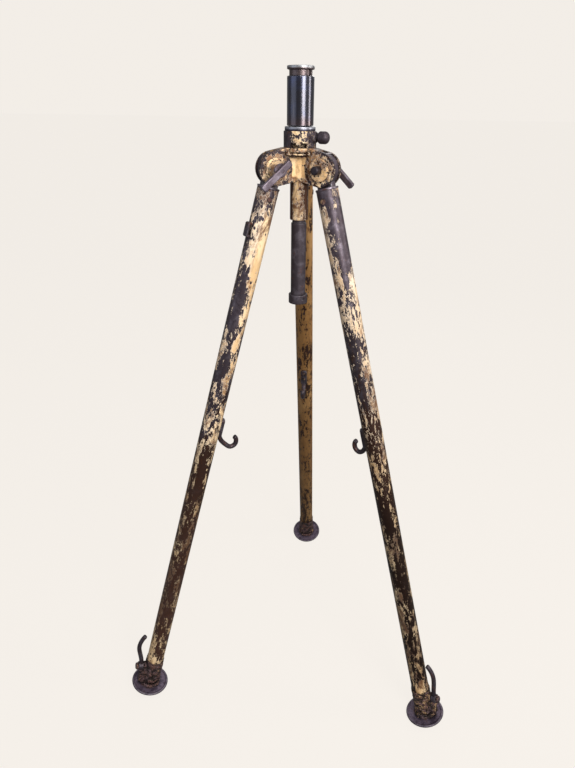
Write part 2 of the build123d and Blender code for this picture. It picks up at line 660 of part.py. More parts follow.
for name, azimuth in LEG_AZIMUTHS.items():
    with BuildPart() as leg_tube:
        with BuildSketch(leg_section(azimuth, TUBE_START)):
            Circle(TUBE_R)
            Circle(TUBE_IN, mode=Mode.SUBTRACT)
        extrude(amount=RING_BOTTOM - TUBE_START)
        with BuildSketch(leg_cross_plane(azimuth, PIN_ALONG, 0)):
            Circle(PIN_R)
        extrude(amount=TUBE_R + 1, both=True, mode=Mode.SUBTRACT)
        for face in (-1, 1):
            with BuildSketch(leg_cross_plane(azimuth, PIN_ALONG, face * PIN_SEAT)):
                Circle(PIN_HEAD_R)
            extrude(amount=face * 2, mode=Mode.SUBTRACT)
        with BuildSketch(leg_cross_plane(azimuth, SOCKET_PIN_ALONG, 0)):
            Circle(SOCKET_PIN_R)
        extrude(amount=TUBE_R + 1, both=True, mode=Mode.SUBTRACT)
        with BuildSketch(leg_face_plane(azimuth, 0, 0)):
            with Locations([(place, 0) for place in RIVET_PLACES]):
                Circle(RIVET_R)
        extrude(amount=-(TUBE_R + 1), mode=Mode.SUBTRACT)
    save(leg_tube, f"leg_tube_{name}")

    with BuildPart() as leg_knuckle:
        with BuildSketch(leg_side_plane(azimuth)):
            with Locations((0, LEG_LENGTH)):
                Circle(TONGUE_R)
                with PolarLocations(STOP_R - STOP_DEPTH / 2, 1, start_angle=90 - STOP_ANGLE - LEG_TILT):
                    Rectangle(STOP_DEPTH, STOP_WIDTH)
            with Locations((0, RING_TOP - 1)):
                Rectangle(2 * SHANK_HALF, LEG_LENGTH - RING_TOP + 1, align=(Align.CENTER, Align.MIN))
        extrude(amount=TONGUE_HALF, both=True)
        with BuildSketch(leg_section(azimuth, RING_BOTTOM)):
            Circle(RING_R)
        extrude(amount=RING_TOP - RING_BOTTOM)
        ring_edges = leg_knuckle.edges().filter_by(GeomType.CIRCLE).filter_by(
            lambda edge: abs(edge.radius - RING_R) < 0.01
        )
        fillet(ring_edges, radius=1.0)
        with BuildSketch(leg_section(azimuth, PLUG_BOTTOM)):
            Circle(TUBE_IN)
        extrude(amount=RING_BOTTOM - PLUG_BOTTOM)
        with BuildSketch(leg_cross_plane(azimuth, PIN_ALONG, 0)):
            Circle(PIN_R)
        extrude(amount=TUBE_R, both=True, mode=Mode.SUBTRACT)
        with BuildSketch(leg_cross_plane(azimuth, LEG_LENGTH, 0)):
            Circle(BOLT_R + RUN)
        extrude(amount=TUBE_R, both=True, mode=Mode.SUBTRACT)
    save(leg_knuckle, f"leg_knuckle_{name}")

    cross_axis = Axis(leg_point(azimuth, 0, 0), sideways(azimuth))
    off_axis = Axis(leg_point(azimuth, 0, 0), off_leg(azimuth))
    with BuildPart() as knuckle_pin:
        with BuildSketch(leg_cross_plane(azimuth, PIN_ALONG, -PIN_SEAT)):
            Circle(PIN_R)
        extrude(amount=2 * PIN_SEAT)
        for face in (-1, 1):
            with BuildSketch(leg_cross_plane(azimuth, PIN_ALONG, face * PIN_SEAT)):
                Circle(PIN_HEAD_R)
            extrude(amount=face * 2.0)
        pin_rims = knuckle_pin.edges().sort_by(cross_axis)
        fillet([pin_rims[0], pin_rims[-1]], radius=1.2)
    save(knuckle_pin, f"knuckle_pin_{name}")

    with BuildPart() as foot_socket:
        with BuildSketch(leg_side_plane(azimuth)):
            with BuildLine():
                Line((0, RIM_R), SOCKET_CURVE[0])
                Spline(SOCKET_CURVE)
                Polyline(
                    SOCKET_CURVE[-1],
                    (TUBE_R + 0.2, SOCKET_TOP),
                    (TUBE_R, SOCKET_TOP),
                    (TUBE_R, TUBE_START),
                    (0, TUBE_START),
                    (0, RIM_R),
                )
            make_face()
        revolve(axis=leg_axis(azimuth))
        with BuildSketch(leg_face_plane(azimuth, 0, 0)):
            with Locations((CLAW_ALONG, 0)):
                Circle(LUG_R)
            with Locations((LUG_FOOT, 0)):
                Rectangle(CLAW_ALONG - LUG_FOOT, 2 * LUG_R, align=(Align.MIN, Align.CENTER))
        extrude(amount=LUG_END)
        with BuildSketch(leg_side_plane(azimuth)):
            with BuildLine():
                Polyline(*HEEL_PROFILE, close=True)
            make_face()
        extrude(amount=HEEL_HALF, both=True)
        with BuildSketch(leg_section(azimuth, TUBE_START)):
            Circle(TUBE_R)
        extrude(amount=SOCKET_TOP, mode=Mode.SUBTRACT)
        with BuildSketch(leg_cross_plane(azimuth, SOCKET_PIN_ALONG, 0)):
            Circle(SOCKET_PIN_R)
        extrude(amount=FAR_OUT, both=True, mode=Mode.SUBTRACT)
        for face in (-1, 1):
            with BuildSketch(leg_cross_plane(azimuth, SOCKET_PIN_ALONG, face * SOCKET_SEAT)):
                Circle(DOME_R)
            extrude(amount=face * FAR_OUT, mode=Mode.SUBTRACT)
        with BuildSketch(leg_face_plane(azimuth, TUBE_R - 5, CLAW_ALONG)):
            Circle(CLAW_BOLT_R)
        extrude(amount=LUG_END, mode=Mode.SUBTRACT)
    save(foot_socket, f"foot_socket_{name}")

    with BuildPart() as socket_pin:
        with BuildSketch(leg_cross_plane(azimuth, SOCKET_PIN_ALONG, -SOCKET_SEAT)):
            Circle(SOCKET_PIN_R)
        extrude(amount=2 * SOCKET_SEAT)
        for face in (-1, 1):
            with BuildSketch(leg_cross_plane(azimuth, SOCKET_PIN_ALONG, face * SOCKET_SEAT)):
                Circle(DOME_R)
            extrude(amount=face * DOME_T)
        dome_rims = socket_pin.edges().sort_by(cross_axis)
        fillet([dome_rims[0], dome_rims[-1]], radius=DOME_T - 0.5)
    save(socket_pin, f"socket_pin_{name}")

    with BuildPart() as foot_disc:
        with BuildSketch(leg_side_plane(azimuth)):
            with BuildLine():
                Line((0, -RIM_R), (RIM_CIRCLE, -RIM_R))
                ThreePointArc((RIM_CIRCLE, -RIM_R), (DISC_R, 0), (RIM_CIRCLE, RIM_R))
                Polyline(
                    (RIM_CIRCLE, RIM_R),
                    (RIM_CIRCLE - 2.0, RIM_R),
                    (RIM_CIRCLE - 4.5, RIM_R - DISH),
                    (DISC_BOSS_R + 2.5, RIM_R - DISH),
                    (DISC_BOSS_R, RIM_R),
                    (0, RIM_R),
                    (0, -RIM_R),
                )
            make_face()
        revolve(axis=leg_axis(azimuth))
    save(foot_disc, f"foot_disc_{name}")

    with BuildPart() as claw_bolt:
        with BuildSketch(leg_face_plane(azimuth, TUBE_R + 0.3, CLAW_ALONG)):
            Circle(CLAW_BOLT_R)
        extrude(amount=CLAW_EYE_END + 0.3 - TUBE_R - 0.3)
        with BuildSketch(leg_face_plane(azimuth, CLAW_EYE_END + 0.3, CLAW_ALONG)):
            Circle(CLAW_HEAD_R)
        extrude(amount=CLAW_HEAD_T)
        fillet(claw_bolt.edges().sort_by(off_axis)[-1], radius=3)
    save(claw_bolt, f"claw_bolt_{name}")

    with BuildPart() as ground_claw:
        with BuildLine(leg_side_plane(azimuth)) as claw_line:
            Spline(CLAW_PATHS[name])
        with BuildSketch(Plane(origin=claw_line.line @ 0, z_dir=claw_line.line % 0)):
            Circle(CLAW_BAR_R)
        sweep()
        claw_tip = ground_claw.faces().sort_by(leg_axis(azimuth))[-1]
        fillet(claw_tip.edges(), radius=2.5)
        with BuildSketch(leg_face_plane(azimuth, CLAW_EYE_START, CLAW_ALONG)):
            Circle(CLAW_EYE_R)
        extrude(amount=CLAW_EYE_END - CLAW_EYE_START)
        with BuildSketch(leg_face_plane(azimuth, CLAW_EYE_START - 1, CLAW_ALONG)):
            Circle(CLAW_BOLT_R + RUN)
        extrude(amount=CLAW_EYE_END - CLAW_EYE_START + 2, mode=Mode.SUBTRACT)
    save(ground_claw, f"ground_claw_{name}")

    with BuildPart() as strap_hook:
        with BuildSketch(leg_face_plane(azimuth, -STRIP_OUT, 0)):
            with Locations(((STRIP_BOTTOM + STRIP_TOP) / 2, 0)):
                RectangleRounded(STRIP_TOP - STRIP_BOTTOM, STRIP_WIDTH, 5)
        extrude(amount=STRIP_OUT - TUBE_R + 3)
        with BuildLine(leg_side_plane(azimuth)) as hook_line:
            Spline(HOOK_START, *HOOK_BENDS[name])
        with BuildSketch(Plane(origin=hook_line.line @ 0, z_dir=hook_line.line % 0)):
            Circle(HOOK_BAR_R)
        sweep()
        with BuildSketch(leg_section(azimuth, STRIP_BOTTOM - 20)):
            Circle(TUBE_R)
        extrude(amount=STRIP_TOP - STRIP_BOTTOM + 40, mode=Mode.SUBTRACT)
        with BuildSketch(leg_face_plane(azimuth, 0, 0)):
            with Locations([(place, 0) for place in RIVET_PLACES]):
                Circle(RIVET_R)
        extrude(amount=-(STRIP_OUT + 5), mode=Mode.SUBTRACT)
        with BuildSketch(leg_face_plane(azimuth, -STRIP_OUT, 0)):
            with Locations([(place, 0) for place in RIVET_PLACES]):
                Circle(RIVET_HEAD_R)
        extrude(amount=-RIVET_HEAD_T, mode=Mode.SUBTRACT)
    save(strap_hook, f"strap_hook_{name}")

    with BuildPart() as hook_rivets:
        with BuildSketch(leg_face_plane(azimuth, -STRIP_OUT, 0)):
            with Locations([(place, 0) for place in RIVET_PLACES]):
                Circle(RIVET_R)
        extrude(amount=STRIP_OUT - TUBE_IN + 1)
        with BuildSketch(leg_face_plane(azimuth, -STRIP_OUT, 0)):
            with Locations([(place, 0) for place in RIVET_PLACES]):
                Circle(RIVET_HEAD_R)
        extrude(amount=-RIVET_HEAD_T)
        rivet_tops = hook_rivets.faces().sort_by(off_axis)[:2]
        fillet(rivet_tops[0].edges() + rivet_tops[1].edges(), radius=1.4)
    save(hook_rivets, f"hook_rivets_{name}")

left = LEG_AZIMUTHS["left"]
staple_plane = leg_side_plane(left, STAPLE_TURN)
staple_middle = (STAPLE_BOTTOM + STAPLE_TOP) / 2
staple_height = STAPLE_TOP - STAPLE_BOTTOM
with BuildPart() as sling_staple:
    with BuildSketch(staple_plane):
        with Locations((TUBE_R - STAPLE_FILL, staple_middle)):
            RectangleRounded(2 * (STAPLE_OUT - TUBE_R + STAPLE_FILL), staple_height, 3.5)
        with Locations((TUBE_R + STAPLE_SLOT, staple_middle)):
            slot = (2 * STAPLE_SLOT, staple_height - 2 * STAPLE_T)
            Rectangle(*slot, align=(Align.MAX, Align.CENTER), mode=Mode.SUBTRACT)
    extrude(amount=STAPLE_WIDTH / 2, both=True)
    staple_ends = sling_staple.faces().sort_by(Axis(staple_plane.origin, staple_plane.z_dir))
    chamfer(staple_ends[0].edges() + staple_ends[-1].edges(), length=0.8)
    with BuildSketch(leg_section(left, STAPLE_BOTTOM - 1, STAPLE_TURN)):
        Circle(TUBE_R)
        with Locations((-FAR_OUT / 2, 0)):
            Rectangle(FAR_OUT, FAR_OUT)
    extrude(amount=staple_height + 2, mode=Mode.SUBTRACT)
save(sling_staple, "sling_staple")
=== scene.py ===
import json
from math import cos, log, pi, radians, sin

import bpy
from mathutils import Matrix, Vector, noise


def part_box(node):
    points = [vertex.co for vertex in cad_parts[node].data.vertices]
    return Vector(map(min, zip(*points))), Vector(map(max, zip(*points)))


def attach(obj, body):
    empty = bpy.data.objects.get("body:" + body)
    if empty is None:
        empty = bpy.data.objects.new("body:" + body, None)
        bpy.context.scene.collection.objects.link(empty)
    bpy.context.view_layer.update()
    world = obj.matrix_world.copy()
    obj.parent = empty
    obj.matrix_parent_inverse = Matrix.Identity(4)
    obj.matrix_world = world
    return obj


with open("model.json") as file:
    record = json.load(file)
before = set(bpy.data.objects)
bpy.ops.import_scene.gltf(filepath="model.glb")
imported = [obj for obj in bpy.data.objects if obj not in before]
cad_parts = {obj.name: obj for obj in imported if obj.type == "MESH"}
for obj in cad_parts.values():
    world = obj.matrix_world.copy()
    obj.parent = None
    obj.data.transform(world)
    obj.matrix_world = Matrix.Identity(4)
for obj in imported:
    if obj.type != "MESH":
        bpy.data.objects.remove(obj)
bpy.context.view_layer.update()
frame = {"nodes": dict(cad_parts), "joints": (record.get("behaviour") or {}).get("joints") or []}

# ------------------------------------------------------------------ places, from the frame
SIDES = ("left", "right", "rear")
JOINTS = {joint["name"]: joint for joint in frame["joints"]}
UP = Vector((0, 0, 1))
FRONT_AZIMUTH = -84.0        # the side that the tripod is shown from, in degrees from +X


def level_direction(azimuth):
    """The level direction at an azimuth in degrees."""
    return Vector((cos(radians(azimuth)), sin(radians(azimuth)), 0))


def middle(node):
    low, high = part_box(node)
    return (low + high) / 2


FRONT = level_direction(FRONT_AZIMUTH)
COLUMN = middle("spigot_sleeve")
COLUMN.z = 0
HINGE_Z = JOINTS["leg_hinge_left"]["pos_m"][2]
HEAD_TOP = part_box("head_flange")[1].z
SLEEVE_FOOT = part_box("spigot_sleeve")[0].z


class LegFrame:
    """Directions of one leg: off its axis, sideways and up it, with the origin on the hinge."""

    def __init__(self, side):
        hinge = JOINTS[f"leg_hinge_{side}"]
        self.hinge = Vector(hinge["pos_m"])
        self.side = -Vector(hinge["axis"]).normalized()
        self.off = Vector(JOINTS[f"claw_swing_{side}"]["axis"]).normalized()
        self.up = self.off.cross(self.side).normalized()
        self.turn = Matrix((self.off, self.side, self.up))

    def point(self, off, side, down):
        return self.hinge + self.off * off + self.side * side - self.up * down

    def down(self, point):
        """How far down the leg a point lies, from the hinge."""
        return -(point - self.hinge).dot(self.up)


LEGS = {side: LegFrame(side) for side in SIDES}
LEG_LENGTH = LEGS["rear"].down(middle("foot_disc_rear"))
TUBE_R = 0.020
NUT_TOP = 0.038              # outer face of a clamp nut, from the leg's plane
NUT_END = 0.003              # how much of the nut's end is bare


# ------------------------------------------------------------------ camera
CAMERA_FROM_COLUMN = Vector((0.1094, -1.0640, 1.3278))
CAMERA_PAN = -6.01           # degrees from +Y, positive towards +X
CAMERA_PITCH = -26.59
CAMERA_ROLL = -0.72
CAMERA_LENS = 25.84          # millimetres, with 36 along the longer side of the picture
CAMERA_SENSOR = 36
CAMERA_SHIFT = (-0.0104, -0.0066)
CAMERA_CLIP = 0.02


def look_matrix(pan, pitch, roll):
    """Camera axes from its pan, pitch and roll in degrees."""
    pan, pitch, roll = radians(pan), radians(pitch), radians(roll)
    forward = Vector((sin(pan) * cos(pitch), cos(pan) * cos(pitch), sin(pitch)))
    right = Vector((cos(pan), -sin(pan), 0))
    below = forward.cross(right)
    right_rolled = right * cos(roll) + below * sin(roll)
    below_rolled = below * cos(roll) - right * sin(roll)
    return Matrix((right_rolled, -below_rolled, -forward)).transposed()


def make_camera():
    data = bpy.data.cameras.new("camera")
    data.lens = CAMERA_LENS
    data.sensor_width = CAMERA_SENSOR
    data.shift_x, data.shift_y = CAMERA_SHIFT
    data.clip_start = CAMERA_CLIP
    camera = bpy.data.objects.new("camera", data)
    turn = look_matrix(CAMERA_PAN, CAMERA_PITCH, CAMERA_ROLL).to_4x4()
    camera.matrix_world = Matrix.Translation(COLUMN + CAMERA_FROM_COLUMN) @ turn
    bpy.context.scene.collection.objects.link(camera)
    bpy.context.scene.camera = camera


# ------------------------------------------------------------------ lights and floor
WARM = (1.0, 0.98, 0.95)
LIGHTS = {
    # turn is degrees round the column from the front, positive to the right as seen from there.
    # aim is the height that the light points at on the column, and width and tall are its size.
    "key_box": {"turn": 27, "distance": 2.2, "height": 1.8, "aim": 1.15, "width": 1.0, "tall": 1.2,
                "watts": 68, "colour": (1.0, 0.975, 0.94)},
    "left_fill": {"turn": -62, "distance": 2.6, "height": 1.6, "aim": 1.0, "width": 2.2, "tall": 1.6,
                  "watts": 13, "colour": (0.78, 0.86, 1.0)},
    "right_strip": {"turn": 84, "distance": 2.0, "height": 1.6, "aim": 1.1, "width": 0.40, "tall": 1.3,
                    "watts": 19, "colour": (1.0, 0.95, 0.89)},
    "overhead": {"turn": 25, "distance": 0.9, "height": 3.0, "aim": 1.1, "width": 1.4, "tall": 1.4,
                 "watts": 34, "colour": WARM},
    "back_fill": {"turn": 165, "distance": 2.6, "height": 2.2, "aim": 0.9, "width": 1.6, "tall": 1.4,
                  "watts": 18, "colour": WARM},
}
AMBIENT = (1.0, 0.98, 0.96)
AMBIENT_STRENGTH = 0.24
PAPER = (0.895, 0.852, 0.800)
FLOOR_HALF = 60.0
FLOOR_GREY = 0.04            # what the floor takes of PAPER as its own colour
FLOOR_GLOW = 0.975


def area_light(name, turn, distance, height, aim, width, tall, watts, colour):
    """A soft box round the column."""
    data = bpy.data.lights.new(name, "AREA")
    data.shape = "RECTANGLE"
    data.size = width
    data.size_y = tall
    data.energy = watts
    data.color = colour
    lamp = bpy.data.objects.new(name, data)
    lamp.location = COLUMN + level_direction(FRONT_AZIMUTH + turn) * distance + UP * height
    pointing = COLUMN + UP * aim - lamp.location
    lamp.rotation_euler = pointing.to_track_quat("-Z", "Y").to_euler()
    bpy.context.scene.collection.objects.link(lamp)


def make_world():
    """A dim even light all round, behind a backdrop as pale as paper."""
    world = bpy.data.worlds.new("studio")
    world.use_nodes = True
    tree = world.node_tree
    backdrop = tree.nodes["Background"]
    backdrop.inputs["Color"].default_value = (*PAPER, 1)
    ambient = tree.nodes.new("ShaderNodeBackground")
    ambient.inputs["Color"].default_value = (*AMBIENT, 1)
    ambient.inputs["Strength"].default_value = AMBIENT_STRENGTH
    seen = tree.nodes.new("ShaderNodeLightPath")
    choice = tree.nodes.new("ShaderNodeMixShader")
    tree.links.new(seen.outputs["Is Camera Ray"], choice.inputs[0])
    tree.links.new(ambient.outputs[0], choice.inputs[1])
    tree.links.new(backdrop.outputs[0], choice.inputs[2])
    tree.links.new(choice.outputs[0], tree.nodes["World Output"].inputs["Surface"])
    bpy.context.scene.world = world


def make_floor():
    """A pale floor that glows a little, so that it stays as even as the wall of a studio sweep."""
    mesh = bpy.data.meshes.new("floor")
    corners = [(x * FLOOR_HALF, y * FLOOR_HALF, 0) for x, y in ((-1, -1), (1, -1), (1, 1), (-1, 1))]
    mesh.from_pydata(corners, [], [(0, 1, 2, 3)])
    floor = bpy.data.objects.new("floor", mesh)
    bpy.context.scene.collection.objects.link(floor)
    material = bpy.data.materials.new("studio_floor")
    material.use_nodes = True
    surface = material.node_tree.nodes["Principled BSDF"]
    surface.inputs["Base Color"].default_value = (*[channel * FLOOR_GREY for channel in PAPER], 1)
    surface.inputs["Roughness"].default_value = 1.0
    surface.inputs["Specular IOR Level"].default_value = 0.0
    surface.inputs["Emission Color"].default_value = (*PAPER, 1)
    surface.inputs["Emission Strength"].default_value = FLOOR_GLOW
    mesh.materials.append(material)
    floor.visible_diffuse = False
    floor.visible_glossy = False


# ------------------------------------------------------------------ shader building
class Shader:
    """One material in the making; its methods add nodes and return their output sockets."""

    def __init__(self, name):
        self.material = bpy.data.materials.new(name)
        self.material.use_nodes = True
        self.tree = self.material.node_tree
        self.surface = self.tree.nodes["Principled BSDF"]

    def put(self, socket, value):
        """Link a socket to value, or set it where value is a plain number or colour."""
        if isinstance(value, bpy.types.NodeSocket):
            self.tree.links.new(value, socket)
        elif socket.type == "RGBA" and len(value) == 3:
            socket.default_value = (*value, 1)
        else:
            socket.default_value = value

    def node(self, kind, **settings):
        made = self.tree.nodes.new(kind)
        for key, value in settings.items():
            setattr(made, key, value)
        return made

    # numbers
    def math(self, operation, *values):
        made = self.node("ShaderNodeMath", operation=operation)
        for socket, value in zip(made.inputs, values):
            self.put(socket, value)
        return made.outputs[0]

    def plus(self, a, b):
        return self.math("ADD", a, b)

    def minus(self, a, b):
        return self.math("SUBTRACT", a, b)

    def times(self, a, b):
        return self.math("MULTIPLY", a, b)

    def inverse(self, value):
        """1 where value is 0 and 0 where it is 1."""
        return self.minus(1.0, value)

    def clamped(self, value):
        return self.math("MINIMUM", self.math("MAXIMUM", value, 0.0), 1.0)

    def swing(self, value, amount):
        """value from 0 to 1, brought to lie round 0 and stretched."""
        return self.times(self.minus(value, 0.5), amount)

    def step(self, value, low, high):
        """0 below low, 1 above high and smooth between."""
        made = self.node("ShaderNodeMapRange", interpolation_type="SMOOTHSTEP")
        self.put(made.inputs["Value"], value)
        made.inputs["From Min"].default_value = low
        made.inputs["From Max"].default_value = high
        return made.outputs["Result"]

    def between(self, value, rise, fall):
        """1 between two smooth steps up and down, and 0 outside them."""
        return self.times(self.step(value, *rise), self.inverse(self.step(value, *fall)))

    def scaled(self, value, low, high):
        """value from 0 to 1 stretched to low to high."""
        made = self.node("ShaderNodeMapRange")
        self.put(made.inputs["Value"], value)
        made.inputs["To Min"].default_value = low
        made.inputs["To Max"].default_value = high
        return made.outputs["Result"]

    def profile(self, value, stops):
        """A value from -1 to 1 that changes along 0 to 1, from (place, value) stops."""
        made = self.node("ShaderNodeValToRGB")
        ramp = made.color_ramp
        ramp.interpolation = "EASE"
        while len(ramp.elements) < len(stops):
            ramp.elements.new(1.0)
        for element, (place, amount) in zip(ramp.elements, stops):
            element.position = place
            grey = (amount + 1) / 2
            element.color = (grey, grey, grey, 1)
        self.put(made.inputs[0], value)
        return self.math("MULTIPLY_ADD", made.outputs["Color"], 2.0, -1.0)

    # vectors and colours
    def mapped(self, vector, location=(0, 0, 0), rotation=(0, 0, 0), stretch=(1, 1, 1)):
        made = self.node("ShaderNodeMapping")
        self.put(made.inputs["Vector"], vector)
        made.inputs["Location"].default_value = location
        made.inputs["Rotation"].default_value = rotation
        made.inputs["Scale"].default_value = stretch
        return made.outputs[0]

    def places(self, turn=None, origin=None):
        """Coordinates fixed to the part, in metres, or turned into a frame about an origin."""
        here = self.node("ShaderNodeTexCoord").outputs["Object"]
        if turn is None:
            return here
        return self.mapped(here, location=-(turn @ origin), rotation=turn.to_euler())

    def split(self, vector):
        made = self.node("ShaderNodeSeparateXYZ")
        self.put(made.inputs[0], vector)
        return made.outputs

    def length(self, x, y):
        joined = self.node("ShaderNodeCombineXYZ")
        self.put(joined.inputs[0], x)
        self.put(joined.inputs[1], y)
        made = self.node("ShaderNodeVectorMath", operation="LENGTH")
        self.put(made.inputs[0], joined.outputs[0])
        return made.outputs["Value"]

    def dimmed(self, colour, factor):
        """A colour or vector multiplied by a number."""
        made = self.node("ShaderNodeVectorMath", operation="SCALE")
        self.put(made.inputs[0], colour)
        self.put(made.inputs["Scale"], factor)
        return made.outputs[0]

    def warped(self, vector, scale, amount):
        """Coordinates pushed about by a noise of this scale, by up to this amount."""
        drift = self.node("ShaderNodeTexNoise")
        self.put(drift.inputs["Vector"], vector)
        drift.inputs["Scale"].default_value = scale
        made = self.node("ShaderNodeVectorMath", operation="ADD")
        self.put(made.inputs[0], vector)
        self.put(made.inputs[1], self.dimmed(drift.outputs["Color"], amount))
        return made.outputs[0]

    def mix(self, factor, a, b):
        """Colour a where factor is 0, and b where it is 1."""
        made = self.node("ShaderNodeMix", data_type="RGBA")
        self.put(made.inputs[0], factor)
        self.put(made.inputs[6], a)
        self.put(made.inputs[7], b)
        return made.outputs[2]

    def over(self, below, above, mask, share):
        """One colour laid over another where mask is 1, with some of the lower one showing through."""
        return self.mix(self.times(mask, share), below, above)

    # patterns
    def noise(self, vector, scale, detail=5.0, roughness=0.55, distortion=0.0):
        made = self.node("ShaderNodeTexNoise")
        self.put(made.inputs["Vector"], vector)
        made.inputs["Scale"].default_value = scale
        made.inputs["Detail"].default_value = detail
        made.inputs["Roughness"].default_value = roughness
        made.inputs["Distortion"].default_value = distortion
        return made.outputs["Fac"]

    def cells(self, vector, scale):
        made = self.node("ShaderNodeTexVoronoi")
        self.put(made.inputs["Vector"], vector)
        made.inputs["Scale"].default_value = scale
        return made.outputs["Distance"]

    def edges(self, radius):
        """1 on sharp edges and 0 on flat faces, with the rounded normal for the bump."""
        bevel = self.node("ShaderNodeBevel", samples=4)
        bevel.inputs["Radius"].default_value = radius
        flat = self.node("ShaderNodeNewGeometry").outputs["Normal"]
        product = self.node("ShaderNodeVectorMath", operation="DOT_PRODUCT")
        self.put(product.inputs[0], bevel.outputs[0])
        self.put(product.inputs[1], flat)
        return self.step(self.inverse(product.outputs["Value"]), 0.01, 0.16), bevel.outputs[0]

    def crevices(self, depth):
        """1 in corners and gaps narrower than about twice the depth, 0 in the open."""
        made = self.node("ShaderNodeAmbientOcclusion", samples=4)
        made.inputs["Distance"].default_value = depth
        return self.inverse(self.step(made.outputs["AO"], 0.25, 0.80))

    # the result
    def bump(self, height, depth, strength, normal):
        made = self.node("ShaderNodeBump")
        made.inputs["Strength"].default_value = strength
        made.inputs["Distance"].default_value = depth
        self.put(made.inputs["Height"], height)
        self.put(made.inputs["Normal"], normal)
        return made.outputs[0]

    def finish(self, colour, roughness, metallic, normal, specular=0.5):
        self.put(self.surface.inputs["Base Color"], colour)
        self.put(self.surface.inputs["Roughness"], roughness)
        self.put(self.surface.inputs["Metallic"], metallic)
        self.put(self.surface.inputs["Normal"], normal)
        self.surface.inputs["Specular IOR Level"].default_value = specular
        return self.material


# ------------------------------------------------------------------ colours, linear
SAND_PAINT = ((0.60, 0.385, 0.185), (0.80, 0.60, 0.37), (0.30, 0.160, 0.060))    # plain, pale and dirty
CHALKY_PAINT = ((0.66, 0.47, 0.29), (0.86, 0.70, 0.52), (0.27, 0.150, 0.080))
OCHRE_PAINT = ((0.27, 0.135, 0.042), (0.40, 0.225, 0.085), (0.14, 0.058, 0.016))
# pale colour of the painted highlight along the edges of the paint
EDGE_HIGHLIGHT = (0.88, 0.76, 0.65)
STAIN = (0.105, 0.036, 0.014)
STEEL = (0.050, 0.038, 0.048)
STEEL_LIGHT = (0.140, 0.120, 0.146)
STEEL_BLACK = (0.014, 0.008, 0.010)
RUST = (0.135, 0.042, 0.014)
RUST_DARK = (0.070, 0.028, 0.013)
SHADE_AND_SOOT = (0.018, 0.007, 0.004)          # painted shade in corners, and dirt with painted shade under the edges of the flakes
CREVICE_SHADE = (0.010, 0.006, 0.005)      # painted shade in the gaps and crevices of the castings and the foot discs


# ------------------------------------------------------------------ flaked paint
FLAKE_SPREAD = 0.040                  # how wide the noise that decides the flaking is spread
BARE_BELOW = 0.488                    # where that noise is lower the steel is bare
PAINT_ABOVE = 0.506                   # and where it is higher the paint is whole
EDGE_HIGHLIGHT_TO = 0.548                     # the pale painted highlight shows up to here, along the edge of the paint
FLAKE_DIRT_AND_SHADE = (0.462, 0.486)          # dirt and painted shade darken the steel next to a flake
FLAKE_STEP = (0.470, 0.535)           # the surface rises from the steel to the paint
RIM_ROUND = 0.0015                    # wear on the edges of a part reaches this far


def bare_steel(shader, here, tint):
    """Colour and grain of old handled steel, mottled with black oxide."""
    broad = shader.noise(here, 45, detail=6, roughness=0.6)
    grain = shader.noise(here, 420, detail=4, roughness=0.7)
    base = tuple(channel * tint for channel in STEEL)
    light = tuple(channel * tint for channel in STEEL_LIGHT)
    colour = shader.mix(shader.step(broad, 0.45, 0.75), base, light)
    colour = shader.over(colour, STEEL_BLACK, shader.step(grain, 0.52, 0.70), 0.7)
    return colour, grain


def paint_bias(cover):
    """How far the flaking threshold moves to leave this share of the paint."""
    return FLAKE_SPREAD * log(cover / (1 - cover))


def paint_left(shader, drawn, specks, pits, patch_scale, bias):
    """How much paint there is: large patches with ragged edges, less small pits and round dots."""
    patches = shader.noise(drawn, patch_scale, detail=8, roughness=0.62, distortion=0.6)
    ragged = shader.noise(drawn, patch_scale * 3.4, detail=7, roughness=0.70, distortion=0.5)
    left = shader.plus(shader.swing(patches, 0.74), 0.5)
    left = shader.plus(left, shader.swing(ragged, 0.62))
    left = shader.plus(left, shader.swing(pits, 0.24))
    left = shader.plus(left, bias)
    dots = shader.inverse(shader.step(shader.cells(specks, 105), 0.12, 0.30))
    crowds = shader.step(shader.noise(specks, 40, detail=3, roughness=0.5), 0.42, 0.60)
    return shader.minus(left, shader.times(shader.times(dots, crowds), 0.30))


def paint_colour(shader, drawn, specks, paints, grime):
    """The paint itself, paler in clouds, dirty in streaks and stained where there is grime."""
    shade = shader.noise(drawn, 16, detail=5, roughness=0.6)
    dirt = shader.noise(drawn, 90, detail=7, roughness=0.72, distortion=0.8)
    stain = shader.noise(specks, 34, detail=7, roughness=0.7, distortion=0.6)
    plain, pale, dirty = paints
    colour = shader.mix(shader.step(shade, 0.36, 0.62), plain, pale)
    colour = shader.over(colour, dirty, shader.step(dirt, 0.47, 0.70), 0.75)
    return shader.over(colour, STAIN, shader.step(shader.plus(stain, grime), 0.96, 1.09), 0.90)


def rusted_steel(shader, here, drawn, pits, tint, rust):
    """The steel under the paint, with broad dark rust and bright rust in its pits."""
    steel, grain = bare_steel(shader, here, tint)
    rusty = shader.noise(drawn, 60, detail=7, roughness=0.72, distortion=0.8)
    steel = shader.over(steel, RUST_DARK, shader.step(shader.plus(rusty, rust), 0.93, 1.06), 0.85)
    return shader.over(steel, RUST, shader.step(pits, 0.58, 0.70), shader.times(rust, 1.2)), grain


